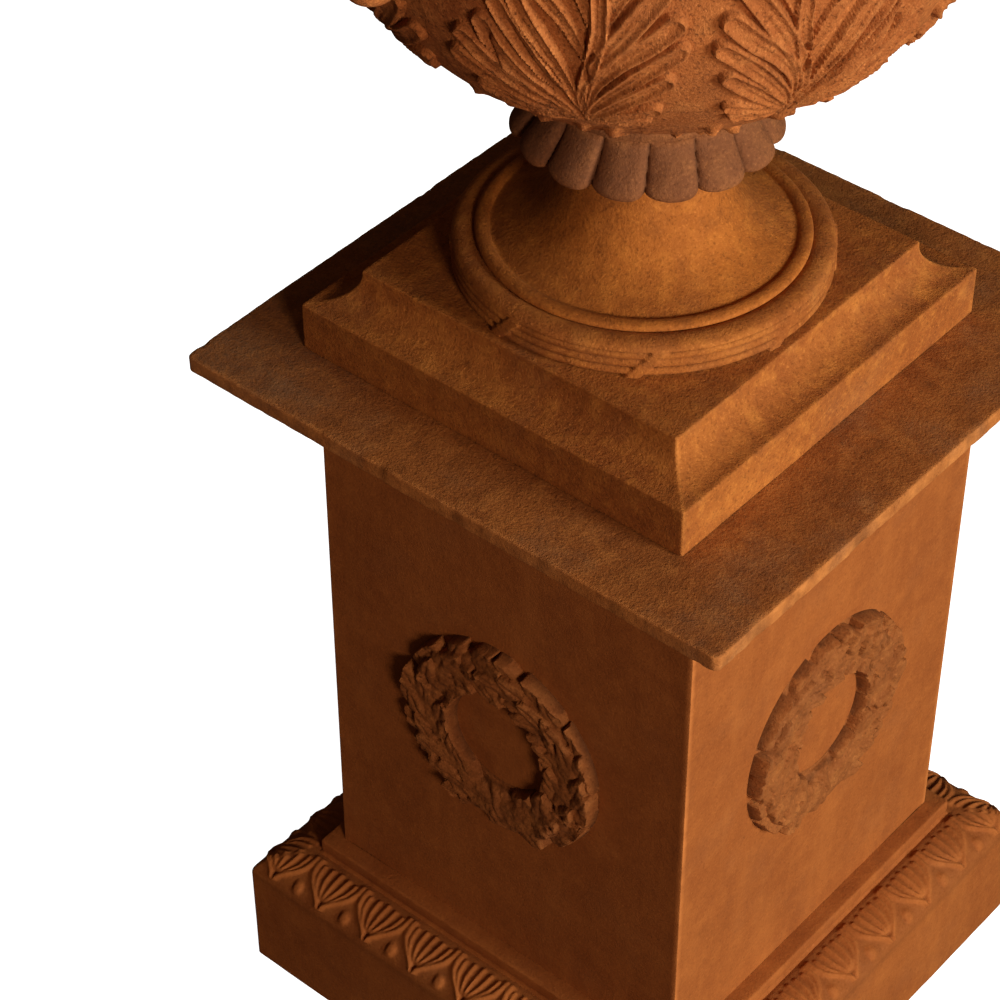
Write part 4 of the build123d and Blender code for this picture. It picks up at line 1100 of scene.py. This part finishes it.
edge = np.linspace(-studio["floorSize"], studio["floorSize"], 2)
fx, fy = np.meshgrid(edge, edge)
floorMesh = bpy.data.meshes.new("floor")
floorMesh.from_pydata(np.stack([fx, fy, 0 * fx], -1).reshape(-1, 3).tolist(), [], [(0, 1, 3, 2)])
floor = bpy.data.objects.new("floor", floorMesh)
bpy.context.scene.collection.objects.link(floor)
pale = bpy.data.materials.new("paleFloor")
pale.use_nodes = True
paleShader = pale.node_tree.nodes["Principled BSDF"]
paleShader.inputs["Base Color"].default_value = (*[studio["floorTone"]] * 3, 1)
paleShader.inputs["Roughness"].default_value = 0.9
paleShader.inputs["Emission Color"].default_value = (1, 1, 1, 1)
paleShader.inputs["Emission Strength"].default_value = studio["floorGlow"]
floorMesh.materials.append(pale)
floor.visible_diffuse = False
floor.visible_glossy = False


def softLight(name, at, aim, size, power, colour=(1, 1, 1)):
    # a round area light at one point, turned towards another
    lamp = bpy.data.lights.new(name, "AREA")
    lamp.shape = "DISK"
    lamp.size = size
    lamp.energy = power
    lamp.color = colour
    holder = bpy.data.objects.new(name, lamp)
    holder.location = at
    holder.rotation_euler = (Vector(aim) - Vector(at)).to_track_quat("-Z", "Y").to_euler()
    bpy.context.scene.collection.objects.link(holder)


softLight("keyLight", studio["keyAt"], studio["keyAim"], studio["keySize"], studio["keyPower"],
          studio["keyColour"])
softLight("sideLight", studio["sideAt"], studio["keyAim"], studio["sideSize"], studio["sidePower"],
          studio["sideColour"])
world = bpy.data.worlds.new("softRoom")
world.use_nodes = True
background = world.node_tree.nodes["Background"]
background.inputs[0].default_value = (*studio["fillColour"], 1)
background.inputs[1].default_value = studio["fillStrength"]
bpy.context.scene.world = world
bpy.context.scene.view_settings.view_transform = "Standard"

view = {
    "at": (0.9740, -1.2994, 1.9247),
    "swing": 40.59,  # degrees from -Y towards +X
    "tilt": 41.93,
    "roll": -0.3,
    "lens": 110.2,
}
a, e = np.radians(view["swing"]), np.radians(view["tilt"])
backward = Vector((np.sin(a) * np.cos(e), -np.cos(a) * np.cos(e), np.sin(e)))
rightward = Vector((np.cos(a), np.sin(a), 0))
upward = backward.cross(rightward)
roll = Matrix.Rotation(np.radians(view["roll"]), 3, "Z")
turnMatrix = Matrix((rightward, upward, backward)).transposed() @ roll
camera = bpy.data.cameras.new("camera")
camera.lens = view["lens"]
camera.sensor_width = 36
camera.clip_end = 50
holder = bpy.data.objects.new("camera", camera)
holder.matrix_world = Matrix.Translation(view["at"]) @ turnMatrix.to_4x4()
bpy.context.scene.collection.objects.link(holder)
bpy.context.scene.camera = holder
